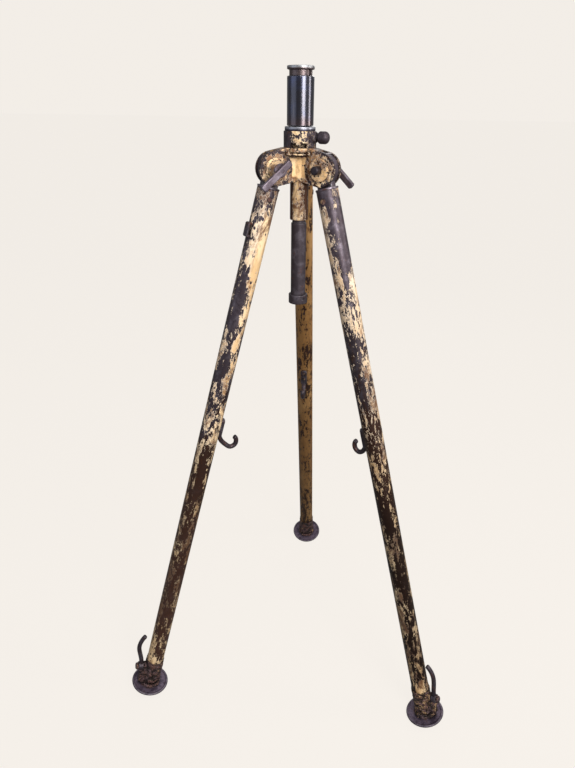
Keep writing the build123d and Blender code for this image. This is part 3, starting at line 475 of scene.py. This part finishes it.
def flaked_paint(shader, here, seed, bias, tone, rust, patch_scale=52.0, squash=0.34, steel_tint=1.0,
                 steel_tone=1.0, grime=0.4, chip=0.0007, paints=SAND_PAINT, edge_highlight=0.60, shadow=0.012):
    """Paint flaked off dark steel.

    bias is about 0 where half the paint is left, and more where more is.  tone, steel_tint and
    steel_tone are the brightness of the paint and of the steel, rust and grime are how rusty and how
    stained they are, and primed is how strong the pale painted highlight along the edge of the paint is.
    squash below 1 draws the flakes out along z.  chip is the depth of the paint, and shadow the depth
    of the corners that are darkened as painted shade.
    """
    drawn = shader.mapped(here, location=seed, stretch=(1, 1, squash))
    specks = shader.mapped(here, location=seed, stretch=(1, 1, (squash + 1) / 2))
    pits = shader.noise(specks, 360, detail=3, roughness=0.6)
    left = paint_left(shader, drawn, specks, pits, patch_scale, bias)
    rim_wear, rounded = shader.edges(RIM_ROUND)
    left = shader.minus(left, shader.times(rim_wear, 0.20))
    paint = shader.step(left, BARE_BELOW, PAINT_ABOVE)
    # rim is the band along the edge of the paint that is painted pale as a highlight
    rim = shader.times(paint, shader.inverse(shader.step(left, PAINT_ABOVE, EDGE_HIGHLIGHT_TO)))

    colour = paint_colour(shader, drawn, specks, paints, grime)
    colour = shader.dimmed(shader.over(colour, EDGE_HIGHLIGHT, rim, edge_highlight), tone)
    steel, grain = rusted_steel(shader, here, drawn, pits, steel_tint, rust)
    steel = shader.dimmed(steel, steel_tone)
    # the steel next to a flake is darkened, partly as dirt and partly as painted shade under the flake's edge
    steel = shader.over(steel, SHADE_AND_SOOT, shader.step(left, *FLAKE_DIRT_AND_SHADE), 0.75)
    base = shader.mix(paint, steel, colour)
    # painted shade: corners about as deep as shadow are darkened
    base = shader.over(base, SHADE_AND_SOOT, shader.crevices(shadow), 0.90)

    roughness = shader.plus(shader.times(grain, 0.35), shader.scaled(paint, 0.26, 0.38))
    metallic = shader.scaled(shader.inverse(paint), 0.0, 0.50)
    height = shader.plus(shader.step(left, *FLAKE_STEP), shader.times(pits, 0.40))
    height = shader.plus(height, shader.times(grain, 0.15))
    normal = shader.bump(height, chip, 0.9, rounded)
    return shader.finish(base, roughness, metallic, normal, specular=0.28)


# ------------------------------------------------------------------ the legs
LEG_PAINT = {
    # Stops run from 0 at the hinge to 1 at the foot.  toward_left, ahead and toward_right are the share of
    # the paint left on the left, the middle and the right of the tube, as seen from the tripod's front.
    # tone and steel are the brightness of the paint and of the bare metal along the leg, and tint that of
    # all its metal; where tone and steel fall lower down the leg, that is partly stain and partly painted
    # shade.
    # rust is how rusty the metal is, and grime how stained the paint is.  golden is the step across the tube,
    # from -1 on its left to 1 on its right, where chalky paint turns golden.
    "left": {
        "seed": (0.31, 0.12, 0.47),
        "toward_left": [(0.0, 0.20), (0.05, 0.22), (0.09, 0.50), (0.13, 0.55), (0.145, 0.10), (0.22, 0.07),
                        (0.28, 0.45), (0.40, 0.28), (0.48, 0.25), (0.70, 0.30), (0.80, 0.45), (0.90, 0.75)],
        "ahead": [(0.0, 0.15), (0.04, 0.35), (0.065, 0.35), (0.09, 0.70), (0.13, 0.60), (0.145, 0.08),
                  (0.21, 0.03), (0.27, 0.20), (0.35, 0.30), (0.41, 0.18), (0.50, 0.08), (0.64, 0.10),
                  (0.82, 0.12), (0.88, 0.50), (1.0, 0.60)],
        "toward_right": [(0.0, 0.10), (0.04, 0.35), (0.07, 0.90), (0.16, 0.98), (0.20, 0.80), (0.28, 0.60),
                         (0.34, 0.32), (0.41, 0.85), (0.48, 0.25), (0.60, 0.30), (0.72, 0.55), (0.84, 0.30),
                         (0.92, 0.40)],
        "tone": [(0.0, 0.90), (0.08, 1.0), (0.36, 0.95), (0.52, 0.62), (0.75, 0.54), (0.86, 0.66),
                 (0.95, 0.92)],
        "steel": [(0.0, 0.68), (0.20, 0.62), (0.45, 0.52), (0.70, 0.75), (0.95, 1.0)],
        "tint": 1.4,
        "rust": [(0.0, 0.60), (0.08, 0.30), (0.22, 0.25), (0.36, 0.42), (0.55, 0.70), (1.0, 0.98)],
        "grime": [(0.0, 0.66), (0.07, 0.52), (0.12, 0.42), (0.40, 0.50), (0.80, 0.58), (0.92, 0.42)],
        "golden": (0.10, 0.45),
        "paint": CHALKY_PAINT,
    },
    "right": {
        "seed": (0.85, 0.43, 0.11),
        "toward_left": [(0.0, 0.08), (0.045, 0.12), (0.055, 0.75), (0.10, 0.75), (0.112, 0.15), (0.125, 0.72),
                        (0.16, 0.70), (0.17, 0.10), (0.185, 0.15), (0.20, 0.70), (0.26, 0.12), (0.33, 0.22),
                        (0.40, 0.45), (0.48, 0.50), (0.55, 0.10), (0.72, 0.50), (0.90, 0.50)],
        "ahead": [(0.0, 0.02), (0.13, 0.04), (0.17, 0.25), (0.19, 0.75), (0.21, 0.70), (0.24, 0.06),
                  (0.28, 0.08), (0.33, 0.35), (0.40, 0.30), (0.47, 0.16), (0.55, 0.07), (0.64, 0.15),
                  (0.72, 0.25), (0.83, 0.15), (0.90, 0.45), (0.97, 0.75)],
        "toward_right": [(0.0, 0.05), (0.03, 0.50), (0.05, 0.40), (0.06, 0.02), (0.13, 0.04), (0.15, 0.60),
                         (0.18, 0.72), (0.25, 0.72), (0.33, 0.80), (0.40, 0.40), (0.47, 0.45), (0.56, 0.22),
                         (0.70, 0.28), (0.95, 0.45)],
        "tone": [(0.0, 0.88), (0.22, 0.76), (0.42, 0.64), (0.58, 0.50), (0.86, 0.50), (0.95, 0.92)],
        "steel": [(0.0, 1.0), (0.14, 0.95), (0.24, 0.60), (0.45, 0.45), (0.60, 0.22), (1.0, 0.20)],
        "tint": 1.0,
        "rust": [(0.0, 0.10), (0.14, 0.20), (0.25, 0.42), (0.50, 0.66), (1.0, 0.90)],
        "grime": [(0.0, 0.50), (0.20, 0.46), (1.0, 0.56)],
        "golden": None,
        "paint": CHALKY_PAINT,
    },
    "rear": {
        "seed": (0.22, 0.71, 0.93),
        "toward_left": [(0.0, 0.90), (1.0, 0.78)],
        "ahead": [(0.0, 0.88), (0.40, 0.75), (0.60, 0.84), (1.0, 0.76)],
        "toward_right": [(0.0, 0.90), (0.40, 0.72), (0.60, 0.84), (1.0, 0.72)],
        "tone": [(0.0, 1.0), (0.30, 0.85), (0.60, 0.62), (1.0, 0.48)],
        "steel": [(0.0, 0.60), (1.0, 0.50)],
        "tint": 1.0,
        "rust": [(0.0, 0.55), (1.0, 0.80)],
        "grime": [(0.0, 0.40), (1.0, 0.40)],
        "golden": None,
        "paint": OCHRE_PAINT,
    },
}
# Steps along a leg from 0 at the hinge to 1 at the foot, or across it from -1 to 1
GOLDEN_ALONG = (0.30, 0.52)           # further down, all the chalky paint is golden
# the pale painted highlight along the edges of the paint fades from its share above to its share below,
# between these steps down the leg
EDGE_HIGHLIGHT_FADES = (0.30, 0.55)
BROWN_ACROSS, BROWN_ALONG = (0.0, 0.6), (0.35, 0.55)
EDGE_HIGHLIGHT_ABOVE, EDGE_HIGHLIGHT_BELOW = 0.60, 0.12
SIDE_GAIN = 1.8                       # how soon the stops of a side take over from those ahead


def leg_cover(shader, choice, along, across):
    """The bias of the flaking, from the shares of paint along the leg on its left, ahead and right."""
    bias = {}
    for key in ("toward_left", "ahead", "toward_right"):
        bias[key] = shader.profile(along, [(place, paint_bias(share)) for place, share in choice[key]])
    total = bias["ahead"]
    for key, gain in (("toward_left", -SIDE_GAIN), ("toward_right", SIDE_GAIN)):
        turned = shader.clamped(shader.times(across, gain))
        total = shader.plus(total, shader.times(turned, shader.minus(bias[key], bias["ahead"])))
    return total


def leg_paint(side):
    """One leg's worn paint, which follows its table of stops."""
    choice = LEG_PAINT[side]
    leg = LEGS[side]
    shader = Shader(f"leg_paint_{side}")
    here = shader.places(leg.turn, leg.hinge)
    x, y, z = shader.split(here)
    along = shader.math("DIVIDE", z, -LEG_LENGTH)
    ahead = leg.turn @ FRONT
    rightward = Vector((-ahead.y, ahead.x)).normalized() / TUBE_R
    across = shader.plus(shader.times(x, rightward.x), shader.times(y, rightward.y))
    browner = shader.times(shader.step(across, *BROWN_ACROSS), shader.step(along, *BROWN_ALONG))
    rust = shader.plus(shader.profile(along, choice["rust"]), shader.times(browner, 0.25))
    paints, edge_highlight = choice["paint"], 0.0
    if paints == CHALKY_PAINT:
        edge_highlight = shader.scaled(shader.step(along, *EDGE_HIGHLIGHT_FADES), EDGE_HIGHLIGHT_ABOVE, EDGE_HIGHLIGHT_BELOW)
        golden = shader.step(along, *GOLDEN_ALONG)
        if choice["golden"]:
            golden = shader.math("MAXIMUM", shader.step(across, *choice["golden"]), golden)
        paints = [shader.mix(golden, *pair) for pair in zip(CHALKY_PAINT, SAND_PAINT)]
    return flaked_paint(shader, here, choice["seed"], leg_cover(shader, choice, along, across),
                        shader.profile(along, choice["tone"]), rust, paints=paints, edge_highlight=edge_highlight,
                        grime=shader.profile(along, choice["grime"]), steel_tint=choice["tint"],
                        steel_tone=shader.profile(along, choice["steel"]))


# ------------------------------------------------------------------ the other painted parts
# Distances from a hinge's axis, each as the start and the end of a smooth step
WASHER_EDGE = (0.0212, 0.0228)
EAR_RIM_STARTS = (0.0255, 0.0268)
EAR_RIM_ENDS = (0.0312, 0.0322)
BARREL_STARTS = (0.0315, 0.0345)
# The band down the front of the barrel, cleaner and painted brighter as a highlight, with more stain towards
# its sides as painted shade: its half width, and its heights from the hinges
BAND_EDGE = (0.010, 0.019)
BAND_FOOT = (-0.018, -0.008)
BAND_TOP = (0.014, 0.022)
# Sideways steps on the collar and the guide tube, from the middle of the column
COLLAR_BARE_LEFT = (-0.022, -0.006)
COLLAR_BROWN_RIGHT = (0.010, 0.024)
GUIDE_BARE_LEFT = (-0.015, -0.007)
GUIDE_WORN_RIGHT = (0.008, 0.015)


def hinge_distance(shader):
    """Distance of a point from the nearest hinge axis."""
    nearest = None
    for leg in LEGS.values():
        x, _, z = shader.split(shader.places(leg.turn, leg.hinge))
        distance = shader.length(x, z)
        nearest = distance if nearest is None else shader.math("MINIMUM", nearest, distance)
    return nearest


def hub_paint():
    """The hub casting: ears with bare rims, rust round the washers, painted shade in its corners, and a
    cleaner band down the barrel that is painted brighter as a highlight, with stain as painted shade at its
    sides.
    """
    shader = Shader("hub_paint")
    here = shader.places()
    wobble = shader.swing(shader.noise(here, 120, detail=4, roughness=0.6), 0.006)
    reach = shader.plus(hinge_distance(shader), wobble)
    bare_rim = shader.between(reach, EAR_RIM_STARTS, EAR_RIM_ENDS)
    ring = shader.inverse(shader.step(reach, *WASHER_EDGE))
    x, _, height = shader.split(shader.places(Matrix.Identity(3), COLUMN + UP * HINGE_Z))
    centre = shader.inverse(shader.step(shader.math("ABSOLUTE", x), *BAND_EDGE))
    plain = shader.times(centre, shader.between(height, BAND_FOOT, BAND_TOP))
    plain = shader.times(plain, shader.step(reach, *BARREL_STARTS))
    _, _, facing = shader.split(shader.node("ShaderNodeNewGeometry").outputs["Normal"])
    topside = shader.step(facing, 0.55, 0.90)
    bias = shader.plus(shader.times(bare_rim, -0.10), shader.times(plain, 0.26))
    bias = shader.plus(bias, shader.times(ring, -0.02))
    bias = shader.minus(bias, shader.times(topside, 0.06))
    # less stain on the band than at its sides, where the stain is also painted shade
    grime = shader.minus(0.55, shader.times(plain, 0.28))
    grime = shader.plus(grime, shader.times(topside, 0.20))
    rust = shader.plus(0.44, shader.times(ring, 0.15))
    # the band is painted brighter, as a highlight down the front of the barrel
    tone = shader.plus(1.20, shader.times(plain, 0.25))
    return flaked_paint(shader, here, (0.4, 0.8, 0.2), shader.plus(bias, 0.060), tone, rust,
                        patch_scale=75.0, squash=0.8, steel_tint=0.50, grime=grime, shadow=0.036,
                        chip=0.0014)


def collar_paint():
    """The clamp collar: bare on its left, flaked in front and brown on its right."""
    shader = Shader("collar_paint")
    here = shader.places(Matrix.Identity(3), COLUMN)
    x, _, _ = shader.split(here)
    bare_left = shader.inverse(shader.step(x, *COLLAR_BARE_LEFT))
    brown_right = shader.step(x, *COLLAR_BROWN_RIGHT)
    bias = shader.minus(0.03, shader.times(bare_left, 0.26))
    bias = shader.minus(bias, shader.times(brown_right, 0.06))
    grime = shader.plus(0.42, shader.times(brown_right, 0.24))
    return flaked_paint(shader, here, (0.7, 0.2, 0.6), bias, tone=1.0, rust=0.40, patch_scale=70.0,
                        squash=1.0, steel_tint=0.75, grime=grime, chip=0.0012)


def guide_paint():
    """The guide tube: pale in front, bare down its left side and worn down its right."""
    shader = Shader("guide_paint")
    here = shader.places(Matrix.Identity(3), COLUMN + UP * HINGE_Z)
    x, _, _ = shader.split(here)
    bare_left = shader.inverse(shader.step(x, *GUIDE_BARE_LEFT))
    worn_right = shader.step(x, *GUIDE_WORN_RIGHT)
    bias = shader.minus(0.08, shader.times(bare_left, 0.28))
    bias = shader.minus(bias, shader.times(worn_right, 0.15))
    return flaked_paint(shader, here, (0.9, 0.3, 0.5), bias, tone=0.78, rust=0.85, patch_scale=60.0,
                        squash=0.6, steel_tint=0.6, grime=0.54)


def lip_paint():
    shader = Shader("lip_paint")
    return flaked_paint(shader, shader.places(), (0.3, 0.6, 0.8), 0.04, tone=1.05, rust=0.60,
                        patch_scale=80.0, squash=1.0, steel_tint=0.55, grime=0.52, chip=0.0012)


def washer_paint():
    shader = Shader("washer_paint")
    return flaked_paint(shader, shader.places(), (0.1, 0.5, 0.9), 0.05, tone=1.20, rust=0.60,
                        patch_scale=85.0, squash=1.0, steel_tint=0.7, grime=0.52, shadow=0.030,
                        chip=0.0012)


def nut_paint(side):
    """The clamp nut: painted with the washer, and bare where its end comes through the lever."""
    leg = LEGS[side]
    shader = Shader(f"nut_paint_{side}")
    _, out, _ = shader.split(shader.places(leg.turn, leg.hinge))
    bare_end = shader.step(out, NUT_TOP - NUT_END, NUT_TOP)
    bias = shader.minus(0.05, shader.times(bare_end, 0.5))
    return flaked_paint(shader, shader.places(), (0.6, 0.1, 0.3), bias, tone=1.1, rust=0.40,
                        patch_scale=85.0, squash=1.0, steel_tint=1.3, grime=0.46, shadow=0.018)


# ------------------------------------------------------------------ plain metals
def worn_steel(name, tint, edge_colour, rust, gloss=(0.30, 0.60)):
    """Handled dark steel with bright edges and some rust in its pits."""
    shader = Shader(name)
    here = shader.places()
    colour, grain = bare_steel(shader, here, tint)
    edge, rounded = shader.edges(0.0014)
    scuffs = shader.step(shader.noise(here, 160, detail=5, roughness=0.7), 0.30, 0.62)
    colour = shader.over(colour, edge_colour, edge, scuffs)
    patches = shader.noise(here, 70, detail=6, roughness=0.7, distortion=0.5)
    rusted = shader.step(patches, 0.62 - rust * 0.25, 0.76)
    colour = shader.over(colour, RUST, rusted, 0.85)
    # painted shade in the corners
    colour = shader.over(colour, (0.012, 0.008, 0.007), shader.crevices(0.008), 0.8)
    normal = shader.bump(shader.plus(grain, patches), 0.00035, 0.6, rounded)
    return shader.finish(colour, shader.scaled(grain, *gloss), 0.6, normal)


def rusty_casting(name, paint_kept=0.40):
    """Pitted, rusted and lumpy cast steel with remains of paint, and painted shade in its crevices and
    between its lumps.
    """
    shader = Shader(name)
    here = shader.places()
    broad = shader.noise(here, 55, detail=7, roughness=0.65, distortion=0.6)
    fine = shader.noise(here, 300, detail=5, roughness=0.7)
    crumbs = shader.cells(here, 230)
    lumps = shader.cells(shader.warped(here, 150, 0.006), 105)
    colour = shader.mix(shader.step(broad, 0.36, 0.62), (0.100, 0.062, 0.070), (0.125, 0.056, 0.042))
    colour = shader.over(colour, (0.135, 0.075, 0.060), shader.step(fine, 0.52, 0.66), 0.7)
    colour = shader.mix(shader.step(fine, 0.34, 0.44), (0.010, 0.006, 0.006), colour)
    remains = shader.noise(here, 90, detail=8, roughness=0.7, distortion=0.7)
    remains = shader.plus(shader.plus(remains, shader.times(broad, 0.3)), paint_kept)
    colour = shader.over(colour, (0.36, 0.23, 0.115), shader.step(remains, 1.10, 1.15), 0.85)
    edge, rounded = shader.edges(0.0018)
    colour = shader.over(colour, (0.16, 0.125, 0.135), edge, shader.step(broad, 0.40, 0.60))
    # painted shade in the corners
    colour = shader.over(colour, CREVICE_SHADE, shader.crevices(0.012), 0.90)
    # painted shade in the crevices between the lumps
    colour = shader.over(colour, CREVICE_SHADE, shader.step(lumps, 0.46, 0.66), 0.85)
    height = shader.plus(shader.times(crumbs, 0.4), fine)
    height = shader.plus(shader.minus(height, shader.times(lumps, 1.2)), broad)
    normal = shader.bump(height, 0.0034, 1.0, rounded)
    return shader.finish(colour, shader.scaled(fine, 0.34, 0.66), 0.35, normal)


# Distances from the middle of a foot disc, each as the start and the end of a smooth step
SOCKET_RUST = (0.018, 0.032)
DISC_SCUFFED = (0.0385, 0.0432)
DISC_EDGE = (0.0428, 0.0441)


def disc_steel(side):
    """The foot disc: dark violet steel, scuffed near its rim and rusty round the socket."""
    leg = LEGS[side]
    shader = Shader(f"disc_steel_{side}")
    here = shader.places(leg.turn, leg.hinge)
    x, y, _ = shader.split(here)
    radius = shader.length(x, y)
    broad = shader.noise(here, 60, detail=6, roughness=0.65, distortion=0.4)
    fine = shader.noise(here, 420, detail=4, roughness=0.7)
    colour = shader.mix(shader.step(broad, 0.42, 0.60), (0.044, 0.032, 0.054), (0.125, 0.096, 0.138))
    rust = shader.plus(shader.times(shader.inverse(shader.step(radius, *SOCKET_RUST)), 0.24), broad)
    colour = shader.over(colour, (0.070, 0.030, 0.024), shader.step(rust, 0.58, 0.72), 0.9)
    colour = shader.over(colour, RUST_DARK, shader.step(fine, 0.55, 0.66), 0.6)
    scuffed = shader.times(shader.step(radius, *DISC_SCUFFED), shader.step(broad, 0.30, 0.60))
    colour = shader.over(colour, (0.20, 0.18, 0.21), scuffed, 0.55)
    colour = shader.over(colour, (0.020, 0.015, 0.020), shader.step(radius, *DISC_EDGE), 0.8)
    # painted shade in the corners
    colour = shader.over(colour, CREVICE_SHADE, shader.crevices(0.012), 0.8)
    _, rounded = shader.edges(0.0012)
    normal = shader.bump(shader.plus(fine, broad), 0.0006, 0.7, rounded)
    return shader.finish(colour, shader.scaled(fine, 0.34, 0.62), 0.55, normal)


SLEEVE_BROWN = 0.022         # how far up the spigot sleeve its foot is brown


def blued_steel():
    """The spigot sleeve: polished blued steel with fine turning marks and worn edges, brown at its foot."""
    shader = Shader("blued_steel")
    here = shader.places()
    _, _, z = shader.split(here)
    rings = shader.noise(shader.mapped(here, stretch=(40, 40, 1400)), 1.0, detail=3, roughness=0.6)
    streaks = shader.noise(shader.mapped(here, stretch=(260, 260, 14)), 1.0, detail=4, roughness=0.65)
    cloud = shader.noise(here, 38, detail=5, roughness=0.6)
    colour = shader.mix(shader.step(cloud, 0.42, 0.66), (0.036, 0.036, 0.052), (0.040, 0.048, 0.098))
    colour = shader.over(colour, (0.11, 0.10, 0.12), shader.step(streaks, 0.54, 0.72), 0.7)
    foot = shader.inverse(shader.step(z, SLEEVE_FOOT, SLEEVE_FOOT + SLEEVE_BROWN))
    colour = shader.over(colour, (0.085, 0.050, 0.045), foot, 0.6)
    freckles = shader.noise(here, 520, detail=3, roughness=0.7)
    colour = shader.over(colour, RUST_DARK, shader.step(freckles, 0.62, 0.70), 0.6)
    edge, rounded = shader.edges(0.0011)
    colour = shader.mix(edge, colour, (0.42, 0.42, 0.46))
    roughness = shader.scaled(shader.times(shader.plus(streaks, cloud), 0.5), 0.18, 0.36)
    normal = shader.bump(shader.plus(rings, streaks), 0.00006, 0.25, rounded)
    shader.surface.inputs["Coat Weight"].default_value = 0.7
    shader.surface.inputs["Coat Roughness"].default_value = 0.18
    return shader.finish(colour, roughness, 0.92, normal)


HIGHLIGHT_STEP_HALF = 0.0008            # half the width of the step from the painted highlight to the dark metal below it


def rimmed_steel(name, pale_above, dark, pale):
    """A turned collar of steel: pale and bluish above one height, as a painted highlight on its top, and dark
    below it.
    """
    shader = Shader(name)
    here = shader.places()
    _, _, z = shader.split(here)
    broad = shader.noise(here, 90, detail=6, roughness=0.65, distortion=0.4)
    fine = shader.noise(here, 420, detail=4, roughness=0.7)
    wavy = shader.plus(z, shader.swing(broad, 0.004))
    # above pale_above the steel is painted pale and bluish, as a highlight on the top of the collar
    lit_top = shader.step(wavy, pale_above - HIGHLIGHT_STEP_HALF, pale_above + HIGHLIGHT_STEP_HALF)
    colour = shader.mix(lit_top, dark, pale)
    colour = shader.over(colour, STEEL, shader.step(broad, 0.50, 0.66), 0.55)
    colour = shader.over(colour, RUST_DARK, shader.step(fine, 0.60, 0.70), 0.6)
    edge, rounded = shader.edges(0.0011)
    # painted highlight on the edges of the pale top
    colour = shader.over(colour, (0.50, 0.51, 0.54), edge, lit_top)
    # painted shade in the corners
    colour = shader.over(colour, STEEL_BLACK, shader.crevices(0.006), 0.85)
    normal = shader.bump(shader.plus(fine, broad), 0.0003, 0.6, rounded)
    return shader.finish(colour, shader.scaled(fine, 0.26, 0.48), 0.75, normal)


def bronze():
    """Tarnished bronze, for the bushes and the brake pad inside the hub."""
    shader = Shader("bronze")
    here = shader.places()
    tarnish = shader.noise(here, 80, detail=6, roughness=0.65)
    fine = shader.noise(here, 500, detail=4, roughness=0.6)
    colour = shader.mix(shader.step(tarnish, 0.4, 0.65), (0.42, 0.25, 0.09), (0.16, 0.10, 0.045))
    _, rounded = shader.edges(0.0008)
    normal = shader.bump(fine, 0.0002, 0.5, rounded)
    return shader.finish(colour, shader.scaled(fine, 0.30, 0.50), 0.9, normal)


# ------------------------------------------------------------------ rough skins
def roughen(node, grain, depth, cell):
    """Give a casting an uneven skin, by pushing its surface in by up to this depth."""
    target = frame["nodes"][node]
    skin = target.modifiers.new("skin", "REMESH")
    skin.mode = "VOXEL"
    skin.voxel_size = cell
    skin.use_smooth_shade = True
    lumps = bpy.data.textures.new(f"{node}_lumps", "CLOUDS")
    lumps.noise_scale = grain
    lumps.noise_depth = 3
    dents = target.modifiers.new("dents", "DISPLACE")
    dents.texture = lumps
    dents.texture_coords = "GLOBAL"
    dents.strength = depth
    dents.mid_level = 1.0


def make_skins():
    for side in SIDES:
        roughen(f"foot_socket_{side}", grain=0.007, depth=0.0034, cell=0.0011)
        roughen(f"socket_pin_{side}", grain=0.005, depth=0.0030, cell=0.0008)
    roughen("front_lip", grain=0.008, depth=0.0024, cell=0.0007)


# ------------------------------------------------------------------ weld beads
BEAD_RING_R = 0.0205         # middle of the bead, from the leg's axis
BEAD_R = 0.0042
BEAD_ROUNDS = 96             # points round the leg
BEAD_SECTIONS = 14           # points round the bead
BEAD_GRAIN = 3.2             # more makes the lumps finer
BEAD_LUMPS, BEAD_CRUMBS = 0.45, 0.25
BEAD_SINK = 0.001            # how far the bead may reach into the disc
DISC_TOP = 0.00225           # upper face of a foot disc, above its middle


def bead_point(leg, turn, roll):
    """A point of the bead: turn goes round the leg and roll round the bead."""
    spot = Vector((cos(turn), sin(turn), cos(roll) * 0.25 + sin(roll) * 0.1)) * BEAD_GRAIN
    lump = 1 + BEAD_LUMPS * noise.noise(spot + leg.off * 7) + BEAD_CRUMBS * noise.noise(spot * 2.7)
    out = BEAD_RING_R + BEAD_R * lump * cos(roll)
    down = LEG_LENGTH - DISC_TOP - BEAD_R * lump * (0.35 + sin(roll) * 0.9)
    down = min(down, LEG_LENGTH - DISC_TOP + BEAD_SINK)
    return leg.point(out * cos(turn), out * sin(turn), down)


def weld_bead(side):
    """The lumpy bead of weld that holds a foot disc to its socket."""
    turns = [2 * pi * step / BEAD_ROUNDS for step in range(BEAD_ROUNDS)]
    rolls = [2 * pi * part / BEAD_SECTIONS for part in range(BEAD_SECTIONS)]
    points = [tuple(bead_point(LEGS[side], turn, roll)) for turn in turns for roll in rolls]
    faces = []
    for step in range(BEAD_ROUNDS):
        here = step * BEAD_SECTIONS
        there = (step + 1) % BEAD_ROUNDS * BEAD_SECTIONS
        for part in range(BEAD_SECTIONS):
            after = (part + 1) % BEAD_SECTIONS
            faces.append((here + part, there + part, there + after, here + after))
    mesh = bpy.data.meshes.new(f"weld_bead_{side}")
    mesh.from_pydata(points, [], faces)
    mesh.polygons.foreach_set("use_smooth", [True] * len(faces))
    mesh.materials.append(bpy.data.materials[f"foot_casting_{side}"])
    bead = bpy.data.objects.new(f"weld_bead_{side}", mesh)
    bpy.context.scene.collection.objects.link(bead)
    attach(bead, f"leg_{side}")


# ------------------------------------------------------------------ putting materials on the CAD nodes
FOOT_PAINT = {"left": 0.36, "right": 0.45, "rear": 0.36}    # more leaves more paint on the casting
HEAD_HIGHLIGHT_DEPTH = 0.0035         # how far down from its top the head's rim is painted pale as a highlight


def coat(node, material):
    target = frame["nodes"][node]
    if not target.data.materials:
        target.data.materials.append(material)
    for slot in target.material_slots:
        slot.material = material


def make_materials():
    dark = worn_steel("dark_steel", 0.75, (0.20, 0.18, 0.20), rust=0.45)
    bolt = worn_steel("bolt_steel", 0.45, (0.30, 0.29, 0.32), rust=0.1, gloss=(0.25, 0.45))
    lever = worn_steel("lever_steel", 1.7, (0.42, 0.38, 0.43), rust=0.1, gloss=(0.30, 0.50))
    rod = worn_steel("rod_steel", 0.80, (0.24, 0.23, 0.26), rust=0.15, gloss=(0.40, 0.62))
    ring = worn_steel("ring_steel", 1.4, (0.48, 0.48, 0.52), rust=0.15, gloss=(0.25, 0.45))
    casting = rusty_casting("rusty_casting")
    bushes = bronze()
    washer = washer_paint()
    collar_ring = rimmed_steel("collar_ring_steel", pale_above=middle("collar_ring").z,
                               dark=(0.045, 0.042, 0.060), pale=(0.26, 0.27, 0.31))
    head = rimmed_steel("head_steel", pale_above=HEAD_TOP - HEAD_HIGHLIGHT_DEPTH,
                        dark=(0.100, 0.076, 0.078), pale=(0.30, 0.31, 0.33))
    coats = {
        "hub_casting": hub_paint(),
        "front_lip": lip_paint(),
        "lip_rivets": casting,
        "guide_tube": guide_paint(),
        "lower_guide_bush": bushes,
        "upper_guide_bush": bushes,
        "clamp_collar": collar_paint(),
        "collar_ring": collar_ring,
        "clamp_screw": dark,
        "clamp_knob": rod,
        "brake_pad": bushes,
        "spigot_sleeve": blued_steel(),
        "head_flange": head,
        "head_screw": dark,
        "column_rod": rod,
        "rod_cap": rod,
        "cap_set_screw": dark,
        "sling_staple": dark,
    }
    for side in SIDES:
        foot = rusty_casting(f"foot_casting_{side}", FOOT_PAINT[side])
        coats.update({
            f"leg_tube_{side}": leg_paint(side),
            f"leg_knuckle_{side}": ring,
            f"knuckle_pin_{side}": casting,
            f"hinge_bolt_{side}": bolt,
            f"hinge_washers_{side}": washer,
            f"clamp_nut_{side}": nut_paint(side),
            f"clamp_handle_{side}": lever,
            f"foot_socket_{side}": foot,
            f"socket_pin_{side}": foot,
            f"foot_disc_{side}": disc_steel(side),
            f"claw_bolt_{side}": casting,
            f"ground_claw_{side}": dark,
            f"strap_hook_{side}": dark,
            f"hook_rivets_{side}": casting,
        })
    for node, material in coats.items():
        coat(node, material)


bpy.context.scene.view_settings.view_transform = "Standard"
make_camera()
for name, light in LIGHTS.items():
    area_light(name, **light)
make_world()
make_floor()
make_materials()
make_skins()
for side in SIDES:
    weld_bead(side)
